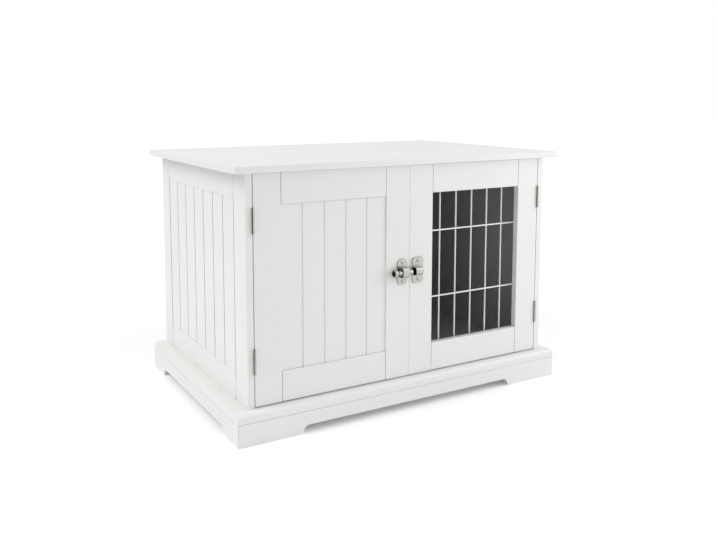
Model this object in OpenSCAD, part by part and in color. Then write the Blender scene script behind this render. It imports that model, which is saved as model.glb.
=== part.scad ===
// Dog house in the form of a side table: framed bead-board sides, two inset front doors,
// a base board on bracket-foot skirts, and a barrel bolt where the doors meet.
// Millimetres. The origin is on the floor under the middle of the piece, +Z is up,
// and the doors face -Y.

/* [Overall] */
// Width of the top board and of the base board
overall_w = 900; // [780:10:1100]
// Depth of the base board, front to back
overall_d = 600; // [480:10:720]
// Height from the floor to the upper face of the top board
overall_h = 600; // [520:10:760]

/* [Boards] */
// Thickness of the body boards and of the door frames
board_t = 16; // [14:1:20]
// Thickness of the top board
top_t = 16; // [12:1:25]
// Thickness of the base board
base_t = 22; // [18:1:28]
// Thickness of the back panel
back_t = 9; // [6:1:12]
// How far the back panel lies inside the back edges of the sides
back_inset = 1; // [0:0.5:3]

/* [Steps and overhangs] */
// How far the base board and the top board stand out past each side
side_step = 32; // [20:1:50]
// How far they stand out past the front of the body
front_step = 22; // [22:1:40]
// How far the base board stands out behind the body
back_step = 7; // [3:1:20]
// How much less the top board reaches back than the base board
top_back_trim = 2; // [0:1:3]
// Radius of the rounded upper edge of the base board
base_round = 10; // [4:1:14]

/* [Skirt] */
// Height of the skirt boards under the base board
skirt_h = 50; // [40:1:80]
// Length of a foot along the front, measured on the floor
front_foot = 151; // [90:1:220]
// Length of a foot along the side, measured on the floor
side_foot = 82; // [75:1:140]
// Radius of the rounded corners of the skirt cut-outs
foot_round = 14; // [8:1:20]
// Height of the bevel at the toe of each foot
foot_bevel_h = 4; // [2:1:8]
// Width of the bevel at the toe of each foot
foot_bevel_w = 5; // [2:1:8]
// Chamfer on the upper front edge of the front skirt, which shows as a line
skirt_chamfer = 1.2; // [0.5:0.1:2]
// Leg length of the corner blocks behind the skirt
block_leg = 45; // [30:1:60]
// Height of the corner blocks
block_h = 40; // [25:1:45]

/* [Side frames] */
// Width of the front stile of each side
side_front_stile = 65; // [50:1:90]
// Width of the back stile of each side
side_back_stile = 59; // [50:1:90]
// Width of the upper and lower rails of each side
side_rail = 61; // [45:1:80]
// How far the bead board lies behind the face of the side frame
side_recess = 0.5; // [0.5:0.5:3]
// Thickness of the bead board in the sides
bead_board_t = 9; // [6:1:10]
// Visible width of the bead board's first strip, next to the front stile
side_first_strip = 66; // [40:1:80]
// Distance from one bead to the next in the sides
side_bead_pitch = 63; // [40:1:90]

/* [Doors] */
// Gap between each door and the side next to it
door_side_gap = 1.5; // [1.5:0.5:3]
// Gap between the two doors
door_centre_gap = 1.5; // [1.5:0.5:4]
// Gap above the doors
door_top_gap = 2; // [1:0.5:4]
// Gap below the doors
door_bottom_gap = 2.5; // [1.5:0.5:4]
// Width of the door stiles
door_stile = 65; // [50:1:80]
// Width of the door rails
door_rail = 69; // [50:1:85]
// How far the door panel lies behind the face of the door frame
door_recess = 3; // [2.5:0.5:6]
// Thickness of the door panel
door_panel_t = 6; // [4:1:7]
// Distance from one bead to the next in the door panel
door_bead_pitch = 55; // [40:1:70]
// Gap between the back of a closed door and what it closes against
stop_gap = 0.6; // [0.5:0.1:1.2]

/* [Bead joints] */
// Width of a bead at the face of the board
bead_w = 3.5; // [2:0.5:4]
// Depth of a bead
bead_depth = 2.4; // [1:0.1:2.5]
// Depth of the grooves in which the panels sit
groove_d = 7; // [5:1:9]
// Play between a panel's edge and the bottom of its groove
panel_play = 0.5; // [0.2:0.1:1]
// Distance from each edge of a rail to its stub tenon
tenon_inset = 10; // [8:1:16]

/* [Inner rails] */
// Height of the back rails
back_rail_h = 60; // [40:1:80]
// Height of the stop strip behind the foot of the doors
stop_strip_h = 12; // [8:1:20]

/* [Grille] */
// Diameter of the grille wire
wire_d = 4; // [3:0.5:5]
// How far the grille laps behind the frame of the right door
grille_lap = 11.5; // [9:0.5:16]
// Number of openings across the grille
grille_bays = 6; // [4:1:8]
// Height of the lower cross wire above the lower rail
lower_wire_rise = 110; // [60:5:150]
// Distance between the two inner cross wires
cross_wire_gap = 164; // [80:2:180]
// How deep crossing wires are welded into each other
wire_weld = 0.4; // [0.2:0.1:0.8]
// Width of a grille clip
clip_w = 10; // [6:1:14]
// Thickness of a grille clip
clip_t = 1; // [0.6:0.1:1.5]
// Length of a clip's foot beyond the wire
clip_foot = 6; // [5:0.5:8]

/* [Hinges] */
// Length of a hinge
hinge_len = 55; // [45:1:80]
// Distance from the end of the door to the nearer end of the hinge
hinge_inset = 73; // [50:1:120]
// Thickness of a hinge leaf
leaf_t = 1.2; // [1:0.1:1.4]
// How far a hinge leaf reaches into the gap, from the face of the door
leaf_reach = 14; // [10:1:16]
// Height of the countersunk heads in the leaves
leaf_head_h = 0.9; // [0.6:0.1:1]
// Outer radius of the hinge knuckles
knuckle_r = 2.4; // [2.2:0.1:2.4]
// Distance of the hinge axis in front of the door's face
hinge_stand = 2.7; // [2.7:0.1:4]
// Number of knuckles along one hinge
knuckles = 5; // [3:2:7]
// Gap between neighbouring knuckles
knuckle_gap = 0.3; // [0.2:0.05:0.5]
// Radius of the hinge pin
hinge_pin_r = 1.2; // [1:0.1:1.3]
// Radial play of a hinge pin or of the bolt in its bore
running_play = 0.05; // [0.03:0.01:0.08]
// Height of the head of a hinge pin
pin_head_h = 1.5; // [1:0.1:2.5]
// Distance between the two screws of a hinge leaf
leaf_screw_gap = 34; // [24:1:40]

/* [Latch] */
// Height of the latch above the middle of the doors
latch_rise = 2; // [-60:1:60]
// Distance of the bolt's axis in front of the door's face
bolt_stand = 12; // [12:0.5:12.5]
// Radius of the bolt
bolt_r = 6; // [4:0.5:6]
// Travel of the bolt
bolt_travel = 12; // [9:1:13]
// Chamfer at the tip of the bolt
bolt_tip_chamfer = 1; // [0.5:0.1:2]
// How far the tip of the drawn bolt stays short of the middle of the doors
bolt_tip_back = 0.3; // [0.2:0.1:2]
// Wall of the barrel in front of the bolt
barrel_wall = 2; // [1.5:0.5:3]
// How much further the barrel reaches up and down than its round edges
barrel_rise = 5; // [2:0.5:6]
// Length of the barrel
barrel_len = 17; // [14:1:20]
// Distance from the middle of the doors to the nearer end of the barrel
barrel_edge = 13; // [9:0.5:16]
// Depth of the hollow in the other end of the barrel
barrel_hollow = 4; // [4:0.5:9]
// Width of the bolt plate
bolt_plate_w = 27; // [25:1:34]
// Distance from the middle of the doors to the nearer edge of the bolt plate
bolt_plate_edge = 8.5; // [7:0.5:12]
// Wall of the keeper's hump and of the barrel's hollow
hump_wall = 1.5; // [1:0.1:1.8]
// Room round the bolt in the keeper's hump and in the barrel's hollow
bolt_room = 0.4; // [0.3:0.1:0.4]
// How much further the hump reaches up and down than its round edges
hump_rise = 2.5; // [1:0.5:5]
// Length of the keeper's hump
hump_len = 20; // [18:1:26]
// Room in the keeper beyond the tip of the shot bolt
hump_room = 5; // [1:1:6]
// Width of the keeper plate
keeper_plate_w = 31; // [26:1:36]
// Distance from the middle of the doors to the nearer edge of the keeper plate and its hump
keeper_plate_edge = 7; // [4:0.5:8]
// Height of both plates
plate_h = 62; // [56:1:70]
// Thickness of both plates
plate_t = 1.8; // [1.2:0.1:2]
// Corner radius of the bolt plate
bolt_plate_round = 11; // [4:1:12]
// Corner radius of the keeper plate
keeper_plate_round = 8; // [4:1:12]
// Distance between the two screws of a plate
plate_screw_gap = 45.5; // [42:0.5:48]
// Radius of the knob
knob_r = 9.5; // [7:0.5:9.5]
// Thickness of the knob along the bolt
knob_w = 12; // [7:0.5:14]
// Radius of the knob's neck
neck_r = 4.5; // [3.5:0.5:5.5]
// Length of the knob's neck
neck_len = 3; // [2:0.5:5]
// Gap between the knob and the barrel when the bolt is shot
knob_gap = 0.5; // [0.3:0.1:1]
// Radius of the spigot that holds the knob
spigot_r = 2.5; // [2:0.1:3]

/* [Screws and fittings] */
// Shank radius of the small screws
screw_r = 1.5; // [1.2:0.1:1.8]
// Head radius of the small screws
screw_head_r = 3; // [2.5:0.1:3.2]
// Length of the small screws below the head
screw_len = 11; // [8:1:12]
// Head radius of the plate screws
plate_screw_head_r = 4; // [3:0.1:4.5]
// Height of a rounded screw head
round_head_h = 1.8; // [1:0.1:2.5]
// Play between a fixed fitting and its hole
seat_play = 0.1; // [0.05:0.01:0.2]
// Width of the cross slot in a cam lock
cam_slot_w = 1.6; // [1:0.1:2.5]
// Length of the cross slot in a cam lock
cam_slot_len = 9; // [6:0.5:11]
// Depth of the cross slot in a cam lock
cam_slot_d = 1.5; // [0.8:0.1:3]
// Radius of a cam lock
cam_r = 7.5; // [6:0.5:9]
// Depth of a cam lock
cam_h = 12; // [9:0.5:13]
// Distance from the end of a rail to the middle of its cam lock
cam_inset = 34; // [24:1:45]
// Radius of a cam dowel
dowel_r = 3; // [2.5:0.1:3.5]
// Depth of a cam dowel in the side
dowel_depth = 9; // [6:0.5:10]
// Leg length of the angle brackets under the top board
bracket_leg = 25; // [20:1:35]
// Width of the angle brackets
bracket_w = 18; // [14:1:25]
// Thickness of the angle brackets
bracket_t = 2; // [1.5:0.1:3]
// Distance from the corner of an angle bracket to its screws
bracket_hole = 15; // [13:1:18]
// Distance of each angle bracket from the front or back of the body
bracket_inset = 150; // [110:5:190]
// Shank radius of the long screws through the base board
base_screw_r = 2.5; // [2:0.1:3]
// Head radius of the long screws
base_screw_head_r = 4.5; // [3.5:0.1:5]
// Height of the heads of the long screws
base_screw_head_h = 2.5; // [1.5:0.1:3]
// Length of the long screws above the base board
base_screw_grip = 25; // [18:1:35]
// Distance from the ends of the back panel to its outermost screws
back_screw_edge = 60; // [50:5:120]
// Number of screws along each edge of the back panel
back_screws_n = 4; // [3:1:6]

/* [Magnetic catches] */
// Width of a catch body
catch_w = 36; // [28:1:42]
// Height of a catch body
catch_h = 12; // [8:1:14]
// Depth of a catch body
catch_d = 14; // [10:1:16]
// Distance from the middle of the doors to the nearer end of a catch
catch_edge = 12; // [8:1:20]
// Thickness of the strike plates on the doors
strike_t = 1.2; // [1:0.1:1.5]
// Gap between a strike plate and its catch
catch_gap = 0.3; // [0.3:0.1:0.6]

/* [Hidden] */
$fn = 64;
EPS = 0.01;

body_w = overall_w - 2 * side_step;
body_d = overall_d - front_step - back_step;
side_x = body_w / 2;
inner_x = side_x - board_t;
front_y = -overall_d / 2 + front_step;
back_y = front_y + body_d;
base_top = skirt_h + base_t;
body_top = overall_h - top_t;
body_h = body_top - base_top;

panel_back_y = back_y - back_inset;
panel_front_y = panel_back_y - back_t;
door_back_y = front_y + board_t;
stop_y = door_back_y + stop_gap;

door_w = inner_x - door_side_gap - door_centre_gap / 2;
door_z = base_top + door_bottom_gap;
door_h = body_h - door_bottom_gap - door_top_gap;
door_top = door_z + door_h;
window_w = door_w - 2 * door_stile;

// The grille, in the right door's own place: x from the hinge edge, z from the foot of the door
grille_in = door_stile - grille_lap;
grille_out = door_w - door_stile + grille_lap;
grille_low = door_rail - grille_lap;
grille_high = door_h - door_rail + grille_lap;
upright_pitch = (grille_out - grille_in) / grille_bays;
cross_y = board_t + wire_d / 2;
upright_y = cross_y + wire_d - wire_weld;
lower_wire_z = door_rail + lower_wire_rise;
clip_half = wire_d / 2 + clip_t + clip_foot;
clip_bays = [0, 2, grille_bays - 3, grille_bays - 1];

// The front top rail stays clear of the grille's upper clips when the door swings
rail_clearance = 1;
front_rail_z = door_z + grille_high + clip_half + rail_clearance;
front_rail_h = body_top - front_rail_z;

hinge_x = inner_x - door_side_gap / 2;
hinge_y = front_y - hinge_stand;
hinge_z = [door_z + hinge_inset, door_top - hinge_inset - hinge_len];
knuckle_h = (hinge_len - (knuckles - 1) * knuckle_gap) / knuckles;

latch_z = door_z + door_h / 2 + latch_rise;
bolt_y = front_y - bolt_stand;
bolt_plate_x = -bolt_plate_edge - bolt_plate_w / 2;
keeper_x = keeper_plate_edge + keeper_plate_w / 2;
barrel_r = bolt_r + barrel_wall;
barrel_end = -barrel_edge - barrel_len;
hump_r = bolt_r + bolt_room + hump_wall;
bolt_tip = -bolt_tip_back;
knob_x = barrel_end - knob_gap - bolt_travel - knob_w / 2;
bolt_end = knob_x + knob_w / 2 + neck_len;

catch_front_y = door_back_y + strike_t + catch_gap;

PAINT = "white";
NICKEL = "silver";
STEEL = "gray";

// A block between two opposite corners
module block(low, high) {
    translate(low)
        cube(high - low);
}

// The same piece on the other side of the middle plane
module other_side() {
    mirror([1, 0, 0])
        children();
}

// A rectangle with rounded corners, centred
module round_rectangle(w, h, r) {
    square([w - 2 * r, h], center = true);
    square([w, h - 2 * r], center = true);
    for (x = [-1, 1], y = [-1, 1])
        translate([x * (w / 2 - r), y * (h / 2 - r)])
            circle(r);
}

// A countersunk screw pointing down, with its head's face at z = 0
module flat_screw(shank_r, length, head_r, head_h, play = 0) {
    translate([0, 0, -head_h])
        cylinder(h = head_h, r1 = shank_r + play, r2 = head_r + play);
    translate([0, 0, -head_h - length - play])
        cylinder(h = length + play + EPS, r = shank_r + play);
}

// A round-headed screw pointing down, with the underside of its head at z = 0
module round_screw(shank_r, length, head_r, head_h) {
    intersection() {
        scale_r = (head_r * head_r + head_h * head_h) / (2 * head_h);
        translate([0, 0, head_h - scale_r])
            sphere(scale_r, $fn = 96);
        cylinder(h = head_h, r = head_r);
    }
    translate([0, 0, -length])
        cylinder(h = length + EPS, r = shank_r);
}

// The hole of a screw, down from z = 0
module screw_hole(shank_r, length) {
    translate([0, 0, -length - 2 * seat_play])
        cylinder(h = length + 2 * seat_play + 1, r = shank_r + seat_play);
}

// Top and base

// The top board, flush with the front and the sides of the base board
module top_board() {
    color(PAINT)
        difference() {
            block([-overall_w / 2, -overall_d / 2, body_top],
                  [overall_w / 2, overall_d / 2 - top_back_trim, overall_h]);
            at_brackets()
                translate([bracket_hole, 0, -bracket_t])
                    rotate([180, 0, 0])
                        screw_hole(screw_r, screw_len + bracket_t);
        }
}

// Outline of the base board from one end, with its two rounded upper edges
module base_outline(width) {
    half = width / 2;
    translate([-half, 0])
        square([width, base_t - base_round]);
    translate([-half + base_round, 0])
        square([width - 2 * base_round, base_t]);
    for (side = [-1, 1])
        translate([side * (half - base_round), base_t - base_round])
            circle(base_round);
}

// The base board: its rounded edges meet in mitres at the corners
module base_board() {
    color(PAINT)
        difference() {
            translate([0, 0, skirt_h])
                intersection() {
                    rotate([90, 0, 0])
                        translate([0, 0, -overall_d / 2])
                            linear_extrude(overall_d)
                                base_outline(overall_w);
                    rotate([90, 0, 90])
                        translate([0, 0, -overall_w / 2])
                            linear_extrude(overall_w)
                                base_outline(overall_d);
                }
            at_base_screws()
                rotate([180, 0, 0])
                    flat_screw(base_screw_r, base_t, base_screw_head_r, base_screw_head_h, seat_play);
        }
}

// Places of the long screws that come up through the base board into the sides
module at_base_screws() {
    for (side = [-1, 1],
         y = [front_y + side_front_stile / 2, (front_y + back_y) / 2, back_y - side_back_stile / 2])
        translate([side * (side_x - board_t / 2), y, skirt_h])
            children();
}

module base_screws() {
    color(STEEL)
        at_base_screws()
            rotate([180, 0, 0])
                flat_screw(base_screw_r, base_t - base_screw_head_h + base_screw_grip,
                           base_screw_head_r, base_screw_head_h);
}

// Skirt

// Outline of a skirt's cut-out between two feet, open at the floor
module cutout_outline(length) {
    half = length / 2;
    inner = half - foot_bevel_w - foot_round;
    polygon([
        [-half - foot_bevel_w / foot_bevel_h, -1],
        [half + foot_bevel_w / foot_bevel_h, -1],
        [half - foot_bevel_w, foot_bevel_h],
        [-half + foot_bevel_w, foot_bevel_h]
    ]);
    translate([-inner, 0])
        square([2 * inner, foot_bevel_h + foot_round]);
    for (side = [-1, 1])
        translate([side * inner, foot_bevel_h])
            circle(foot_round);
}

// A skirt board along X with mitred ends: its outer face is at y = 0, its body behind it
module skirt_board(length, foot) {
    difference() {
        linear_extrude(skirt_h)
            polygon([
                [-length / 2, 0],
                [length / 2, 0],
                [length / 2 - board_t, board_t],
                [-length / 2 + board_t, board_t]
            ]);
        translate([0, board_t + 1, 0])
            rotate([90, 0, 0])
                linear_extrude(board_t + 2)
                    cutout_outline(length - 2 * foot);
    }
}

module front_skirt() {
    color(PAINT)
        difference() {
            translate([0, -overall_d / 2, 0])
                skirt_board(overall_w, front_foot);
            translate([0, -overall_d / 2, skirt_h])
                rotate([45, 0, 0])
                    cube([overall_w + 2, skirt_chamfer * sqrt(2), skirt_chamfer * sqrt(2)], center = true);
        }
}

module back_skirt() {
    color(PAINT)
        rotate([0, 0, 180])
            translate([0, -overall_d / 2, 0])
                skirt_board(overall_w, front_foot);
}

module right_skirt() {
    color(PAINT)
        rotate([0, 0, 90])
            translate([0, -overall_w / 2, 0])
                skirt_board(overall_d, side_foot);
}

module left_skirt() {
    other_side()
        right_skirt();
}

// Four glue blocks in the corners under the base board
module corner_blocks() {
    color(PAINT)
        for (x = [0, 1], y = [0, 1])
            mirror([x, 0, 0])
                mirror([0, y, 0])
                    translate([overall_w / 2 - board_t, overall_d / 2 - board_t, skirt_h - block_h])
                        linear_extrude(block_h)
                            polygon([[0, 0], [-block_leg, 0], [0, -block_leg]]);
}

// Sides

// Puts a piece of the right side in its place: x runs back from the front of the body,
// y runs in from the outer face and z up from the base board
module at_right_side() {
    translate([side_x, front_y, base_top])
        rotate([0, 0, 90])
            children();
}

// The groove that holds the bead board, all round the opening of a side frame
module side_groove() {
    block([side_front_stile - groove_d, side_recess, side_rail - groove_d],
          [body_d - side_back_stile + groove_d, side_recess + bead_board_t, body_h - side_rail + groove_d]);
}

// The stub tenons of a side rail at height z, drawn right through the rail
module side_tenons(z) {
    block([side_front_stile - groove_d, side_recess, z + tenon_inset],
          [body_d - side_back_stile + groove_d, side_recess + bead_board_t, z + side_rail - tenon_inset]);
}

// What the stiles of a side lose to the groove and the tenons
module side_joinery() {
    side_groove();
    side_tenons(0);
    side_tenons(body_h - side_rail);
}

// A side rail at height z, with its tenons
module side_rail_piece(z) {
    difference() {
        union() {
            block([side_front_stile, 0, z], [body_d - side_back_stile, board_t, z + side_rail]);
            side_tenons(z);
        }
        side_groove();
    }
}

module right_front_stile() {
    color(PAINT)
        difference() {
            at_right_side()
                difference() {
                    block([0, 0, 0], [side_front_stile, board_t, body_h]);
                    side_joinery();
                }
            at_frame_leaves()
                leaf_pocket();
            at_frame_leaf_screws()
                screw_hole(screw_r, screw_len + leaf_t);
            right_dowel_bores();
            right_base_screw_holes();
        }
}

module right_back_stile() {
    color(PAINT)
        difference() {
            at_right_side()
                difference() {
                    block([body_d - side_back_stile, 0, 0], [body_d, board_t, body_h]);
                    side_joinery();
                }
            right_dowel_bores();
            right_base_screw_holes();
        }
}

module right_top_rail() {
    color(PAINT)
        difference() {
            at_right_side()
                side_rail_piece(body_h - side_rail);
            at_right_brackets()
                translate([0, 0, -bracket_hole])
                    rotate([0, -90, 0])
                        screw_hole(screw_r, screw_len + bracket_t);
        }
}

module right_bottom_rail() {
    color(PAINT)
        difference() {
            at_right_side()
                side_rail_piece(0);
            right_base_screw_holes();
        }
}

// Holes of the long base screws in the right side
module right_base_screw_holes() {
    at_base_screws()
        cylinder(h = base_t + base_screw_grip + seat_play, r = base_screw_r + seat_play);
}

// One bead across the face of a board, at y = 0
module bead(x, low, high) {
    translate([x, 0, low])
        linear_extrude(high - low)
            polygon([[-bead_w / 2, -EPS], [bead_w / 2, -EPS], [0, bead_depth]]);
}

module right_bead_board() {
    low = side_front_stile - groove_d + panel_play;
    high = body_d - side_back_stile + groove_d - panel_play;
    color(PAINT)
        at_right_side()
            translate([0, side_recess, 0])
                difference() {
                    block([low, 0, side_rail - groove_d + panel_play],
                          [high, bead_board_t, body_h - side_rail + groove_d - panel_play]);
                    for (x = [side_front_stile + side_first_strip : side_bead_pitch : high - groove_d - bead_w])
                        bead(x, 0, body_h);
                }
}

module left_front_stile() {
    other_side()
        right_front_stile();
}

module left_back_stile() {
    other_side()
        right_back_stile();
}

module left_top_rail() {
    other_side()
        right_top_rail();
}

module left_bottom_rail() {
    other_side()
        right_bottom_rail();
}

module left_bead_board() {
    other_side()
        right_bead_board();
}

// Back and inner rails

// Places of the back panel's screws: n across, one row in each back rail
module at_back_screws() {
    span = 2 * (inner_x - back_screw_edge);
    for (i = [0 : back_screws_n - 1], z = [base_top + back_rail_h / 2, body_top - back_rail_h / 2])
        translate([-span / 2 + i * span / (back_screws_n - 1), panel_back_y, z])
            rotate([-90, 0, 0])
                children();
}

module back_panel() {
    color(PAINT)
        difference() {
            block([-inner_x, panel_front_y, base_top], [inner_x, panel_back_y, body_top]);
            at_back_screws()
                screw_hole(screw_r, back_t + 1);
        }
}

module back_panel_screws() {
    color(STEEL)
        at_back_screws()
            round_screw(screw_r, back_t + screw_len, screw_head_r, round_head_h);
}

// A rail between the sides, with a pocket at each end for a cam lock and a bore for its dowel
module inner_rail(y, z, height) {
    difference() {
        block([-inner_x, y, z], [inner_x, y + board_t, z + height]);
        right_dowel_bores();
        other_side()
            right_dowel_bores();
        at_cams()
            cylinder(h = cam_h + 1, r = cam_r + seat_play);
    }
}

module front_top_rail() {
    color(PAINT)
        inner_rail(stop_y, front_rail_z, front_rail_h);
}

module back_top_rail() {
    color(PAINT)
        difference() {
            inner_rail(panel_front_y - board_t, body_top - back_rail_h, back_rail_h);
            at_back_screws()
                screw_hole(screw_r, back_t + screw_len);
        }
}

module back_bottom_rail() {
    color(PAINT)
        difference() {
            inner_rail(panel_front_y - board_t, base_top, back_rail_h);
            at_back_screws()
                screw_hole(screw_r, back_t + screw_len);
        }
}

module door_stop_strip() {
    color(PAINT)
        block([-inner_x, stop_y, base_top], [inner_x, stop_y + board_t, base_top + stop_strip_h]);
}

// Places of the six cam locks, each with its open face upwards: the front rail's pockets open
// to the back, and the back rails' pockets open to the front
module at_cams() {
    for (side = [-1, 1]) {
        translate([side * (inner_x - cam_inset), stop_y + board_t - cam_h, front_rail_z + front_rail_h / 2])
            rotate([-90, 0, 0])
                children();
        for (z = [base_top + back_rail_h / 2, body_top - back_rail_h / 2])
            translate([side * (inner_x - cam_inset), panel_front_y - board_t + cam_h, z])
                rotate([90, 0, 0])
                    children();
    }
}

module cam_locks() {
    color(STEEL)
        at_cams()
            difference() {
                cylinder(h = cam_h, r = cam_r);
                for (turn = [0, 90])
                    rotate([0, 0, turn])
                        translate([0, 0, cam_h])
                            cube([cam_slot_len, cam_slot_w, 2 * cam_slot_d], center = true);
            }
}

// Places of the three dowels between the right side and the rails: on the axis of the cam lock,
// with z along the dowel, out to the side
module at_right_dowels() {
    for (spot = [
            [stop_y + board_t / 2, front_rail_z + front_rail_h / 2],
            [panel_front_y - board_t / 2, base_top + back_rail_h / 2],
            [panel_front_y - board_t / 2, body_top - back_rail_h / 2]
        ])
        translate([inner_x - cam_inset, spot[0], spot[1]])
            rotate([0, 90, 0])
                children();
}

// The bores of the right dowels, which open into the pockets of the cam locks
module right_dowel_bores() {
    at_right_dowels()
        cylinder(h = cam_inset + dowel_depth, r = dowel_r + seat_play);
}

module right_dowels() {
    at_right_dowels()
        translate([0, 0, cam_r + seat_play])
            cylinder(h = cam_inset + dowel_depth - cam_r - seat_play, r = dowel_r);
}

module cam_dowels() {
    color(STEEL) {
        right_dowels();
        other_side()
            right_dowels();
    }
}

// Places of the two brackets of the right side, in the corner under the top board, x outwards
module at_right_brackets() {
    for (y = [front_y + bracket_inset, back_y - bracket_inset])
        translate([inner_x, y, body_top])
            children();
}

// Places of all four brackets, each with x pointing into the cabin
module at_brackets() {
    at_right_brackets()
        rotate([0, 0, 180])
            children();
    other_side()
        at_right_brackets()
            rotate([0, 0, 180])
                children();
}

module top_brackets() {
    color(STEEL)
        at_brackets()
            difference() {
                translate([0, bracket_w / 2, 0])
                    rotate([90, 0, 0])
                        linear_extrude(bracket_w)
                            polygon([
                                [0, 0], [bracket_leg, 0], [bracket_leg, -bracket_t],
                                [bracket_t, -bracket_t], [bracket_t, -bracket_leg], [0, -bracket_leg]
                            ]);
                translate([bracket_hole, 0, -bracket_t])
                    rotate([180, 0, 0])
                        screw_hole(screw_r, bracket_t + 1);
                translate([bracket_t, 0, -bracket_hole])
                    rotate([0, 90, 0])
                        screw_hole(screw_r, bracket_t + 1);
            }
}

module bracket_screws() {
    color(STEEL)
        at_brackets() {
            translate([bracket_hole, 0, -bracket_t])
                rotate([180, 0, 0])
                    round_screw(screw_r, screw_len + bracket_t, screw_head_r, round_head_h);
            translate([bracket_t, 0, -bracket_hole])
                rotate([0, 90, 0])
                    round_screw(screw_r, screw_len + bracket_t, screw_head_r, round_head_h);
        }
}

// Hinges

// Places of the right door's two hinges: on the axis, x outwards, at the foot of the hinge
module at_right_hinges() {
    for (z = hinge_z)
        translate([hinge_x, hinge_y, z])
            children();
}

// Places of the right side's frame leaves, with x = 0 at the inner face of the side
module at_frame_leaves() {
    at_right_hinges()
        translate([door_side_gap / 2, 0, 0])
            children();
}

// The pocket of a frame leaf
module leaf_pocket() {
    block([0, hinge_stand, -seat_play],
          [leaf_t, hinge_stand + leaf_reach + seat_play, hinge_len + seat_play]);
}

// Places of the right frame leaf screws, with z pointing out of the leaf
module at_frame_leaf_screws() {
    at_frame_leaves()
        for (side = [-1, 1])
            translate([0, hinge_stand + leaf_reach / 2, hinge_len / 2 + side * leaf_screw_gap / 2])
                rotate([0, -90, 0])
                    children();
}

// Places of the right door leaf screws, with z pointing out of the leaf
module at_door_leaf_screws() {
    at_right_hinges()
        for (side = [-1, 1])
            translate([-door_side_gap / 2, hinge_stand + leaf_reach / 2,
                       hinge_len / 2 + side * leaf_screw_gap / 2])
                rotate([0, 90, 0])
                    children();
}

// A hinge leaf and its knuckles, in the plane at x: first is 0 for the frame, 1 for the door
module hinge_leaf(x, first) {
    difference() {
        union() {
            block([x, hinge_stand, 0], [x + leaf_t, hinge_stand + leaf_reach, hinge_len]);
            for (i = [first : 2 : knuckles - 1])
                translate([0, 0, i * (knuckle_h + knuckle_gap)]) {
                    cylinder(h = knuckle_h, r = knuckle_r);
                    block([x, 0, 0], [x + leaf_t, hinge_stand, knuckle_h]);
                }
        }
        translate([0, 0, -1])
            cylinder(h = hinge_len + 2, r = hinge_pin_r + running_play);
    }
}

module right_frame_leaves() {
    difference() {
        at_right_hinges()
            hinge_leaf(door_side_gap / 2, 0);
        at_frame_leaf_screws()
            flat_screw(screw_r, leaf_t, screw_head_r, leaf_head_h, seat_play);
    }
}

module frame_hinge_leaves() {
    color(NICKEL) {
        right_frame_leaves();
        other_side()
            right_frame_leaves();
    }
}

module right_door_leaves() {
    color(NICKEL)
        difference() {
            at_right_hinges()
                hinge_leaf(-door_side_gap / 2 - leaf_t, 1);
            at_door_leaf_screws()
                flat_screw(screw_r, leaf_t, screw_head_r, leaf_head_h, seat_play);
        }
}

module left_door_leaves() {
    other_side()
        right_door_leaves();
}

module right_pins() {
    at_right_hinges() {
        cylinder(h = hinge_len + EPS, r = hinge_pin_r);
        translate([0, 0, hinge_len])
            cylinder(h = pin_head_h, r = knuckle_r);
    }
}

module hinge_pins() {
    color(NICKEL) {
        right_pins();
        other_side()
            right_pins();
    }
}

module right_frame_leaf_screws() {
    at_frame_leaf_screws()
        flat_screw(screw_r, screw_len, screw_head_r, leaf_head_h);
}

module frame_leaf_screws() {
    color(STEEL) {
        right_frame_leaf_screws();
        other_side()
            right_frame_leaf_screws();
    }
}

module right_door_leaf_screws() {
    color(STEEL)
        at_door_leaf_screws()
            flat_screw(screw_r, screw_len, screw_head_r, leaf_head_h);
}

module left_door_leaf_screws() {
    other_side()
        right_door_leaf_screws();
}

// Catches

module right_catch_body() {
    block([catch_edge, catch_front_y, front_rail_z - catch_h],
          [catch_edge + catch_w, catch_front_y + catch_d, front_rail_z]);
}

module magnetic_catches() {
    color("gainsboro") {
        right_catch_body();
        other_side()
            right_catch_body();
    }
}

module right_strike() {
    color(STEEL)
        block([catch_edge, door_back_y, front_rail_z - catch_h + 1],
              [catch_edge + catch_w, door_back_y + strike_t, front_rail_z - 1]);
}

module left_strike() {
    other_side()
        right_strike();
}

// Doors

// Puts a piece of the right door in its place: x runs from the hinge edge to the lock edge,
// y runs in from the face and z up from the foot of the door
module at_right_door() {
    translate([inner_x - door_side_gap, front_y, door_z])
        mirror([1, 0, 0])
            children();
}

// The groove that holds the door panel
module door_groove() {
    block([door_stile - groove_d, door_recess, door_rail - groove_d],
          [door_w - door_stile + groove_d, door_recess + door_panel_t, door_h - door_rail + groove_d]);
}

// The stub tenons of a door rail at height z, drawn right through the rail
module door_tenons(z) {
    block([door_stile - groove_d, door_recess, z + tenon_inset],
          [door_w - door_stile + groove_d, door_recess + door_panel_t, z + door_rail - tenon_inset]);
}

// A door stile between two places across the door, with the mortises of the rails
module door_stile_piece(low, high) {
    difference() {
        block([low, 0, 0], [high, board_t, door_h]);
        door_tenons(0);
        door_tenons(door_h - door_rail);
    }
}

// A door rail at height z, with its tenons
module door_rail_piece(z) {
    block([door_stile, 0, z], [door_w - door_stile, board_t, z + door_rail]);
    door_tenons(z);
}

// The hinge stile of the right door, let in for its two hinge leaves
module right_door_hinge_stile() {
    color(PAINT)
        difference() {
            at_right_door()
                door_stile_piece(0, door_stile);
            at_right_hinges()
                translate([-door_side_gap / 2 - leaf_t, 0, 0])
                    leaf_pocket();
            at_door_leaf_screws()
                screw_hole(screw_r, screw_len + leaf_t);
        }
}

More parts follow.
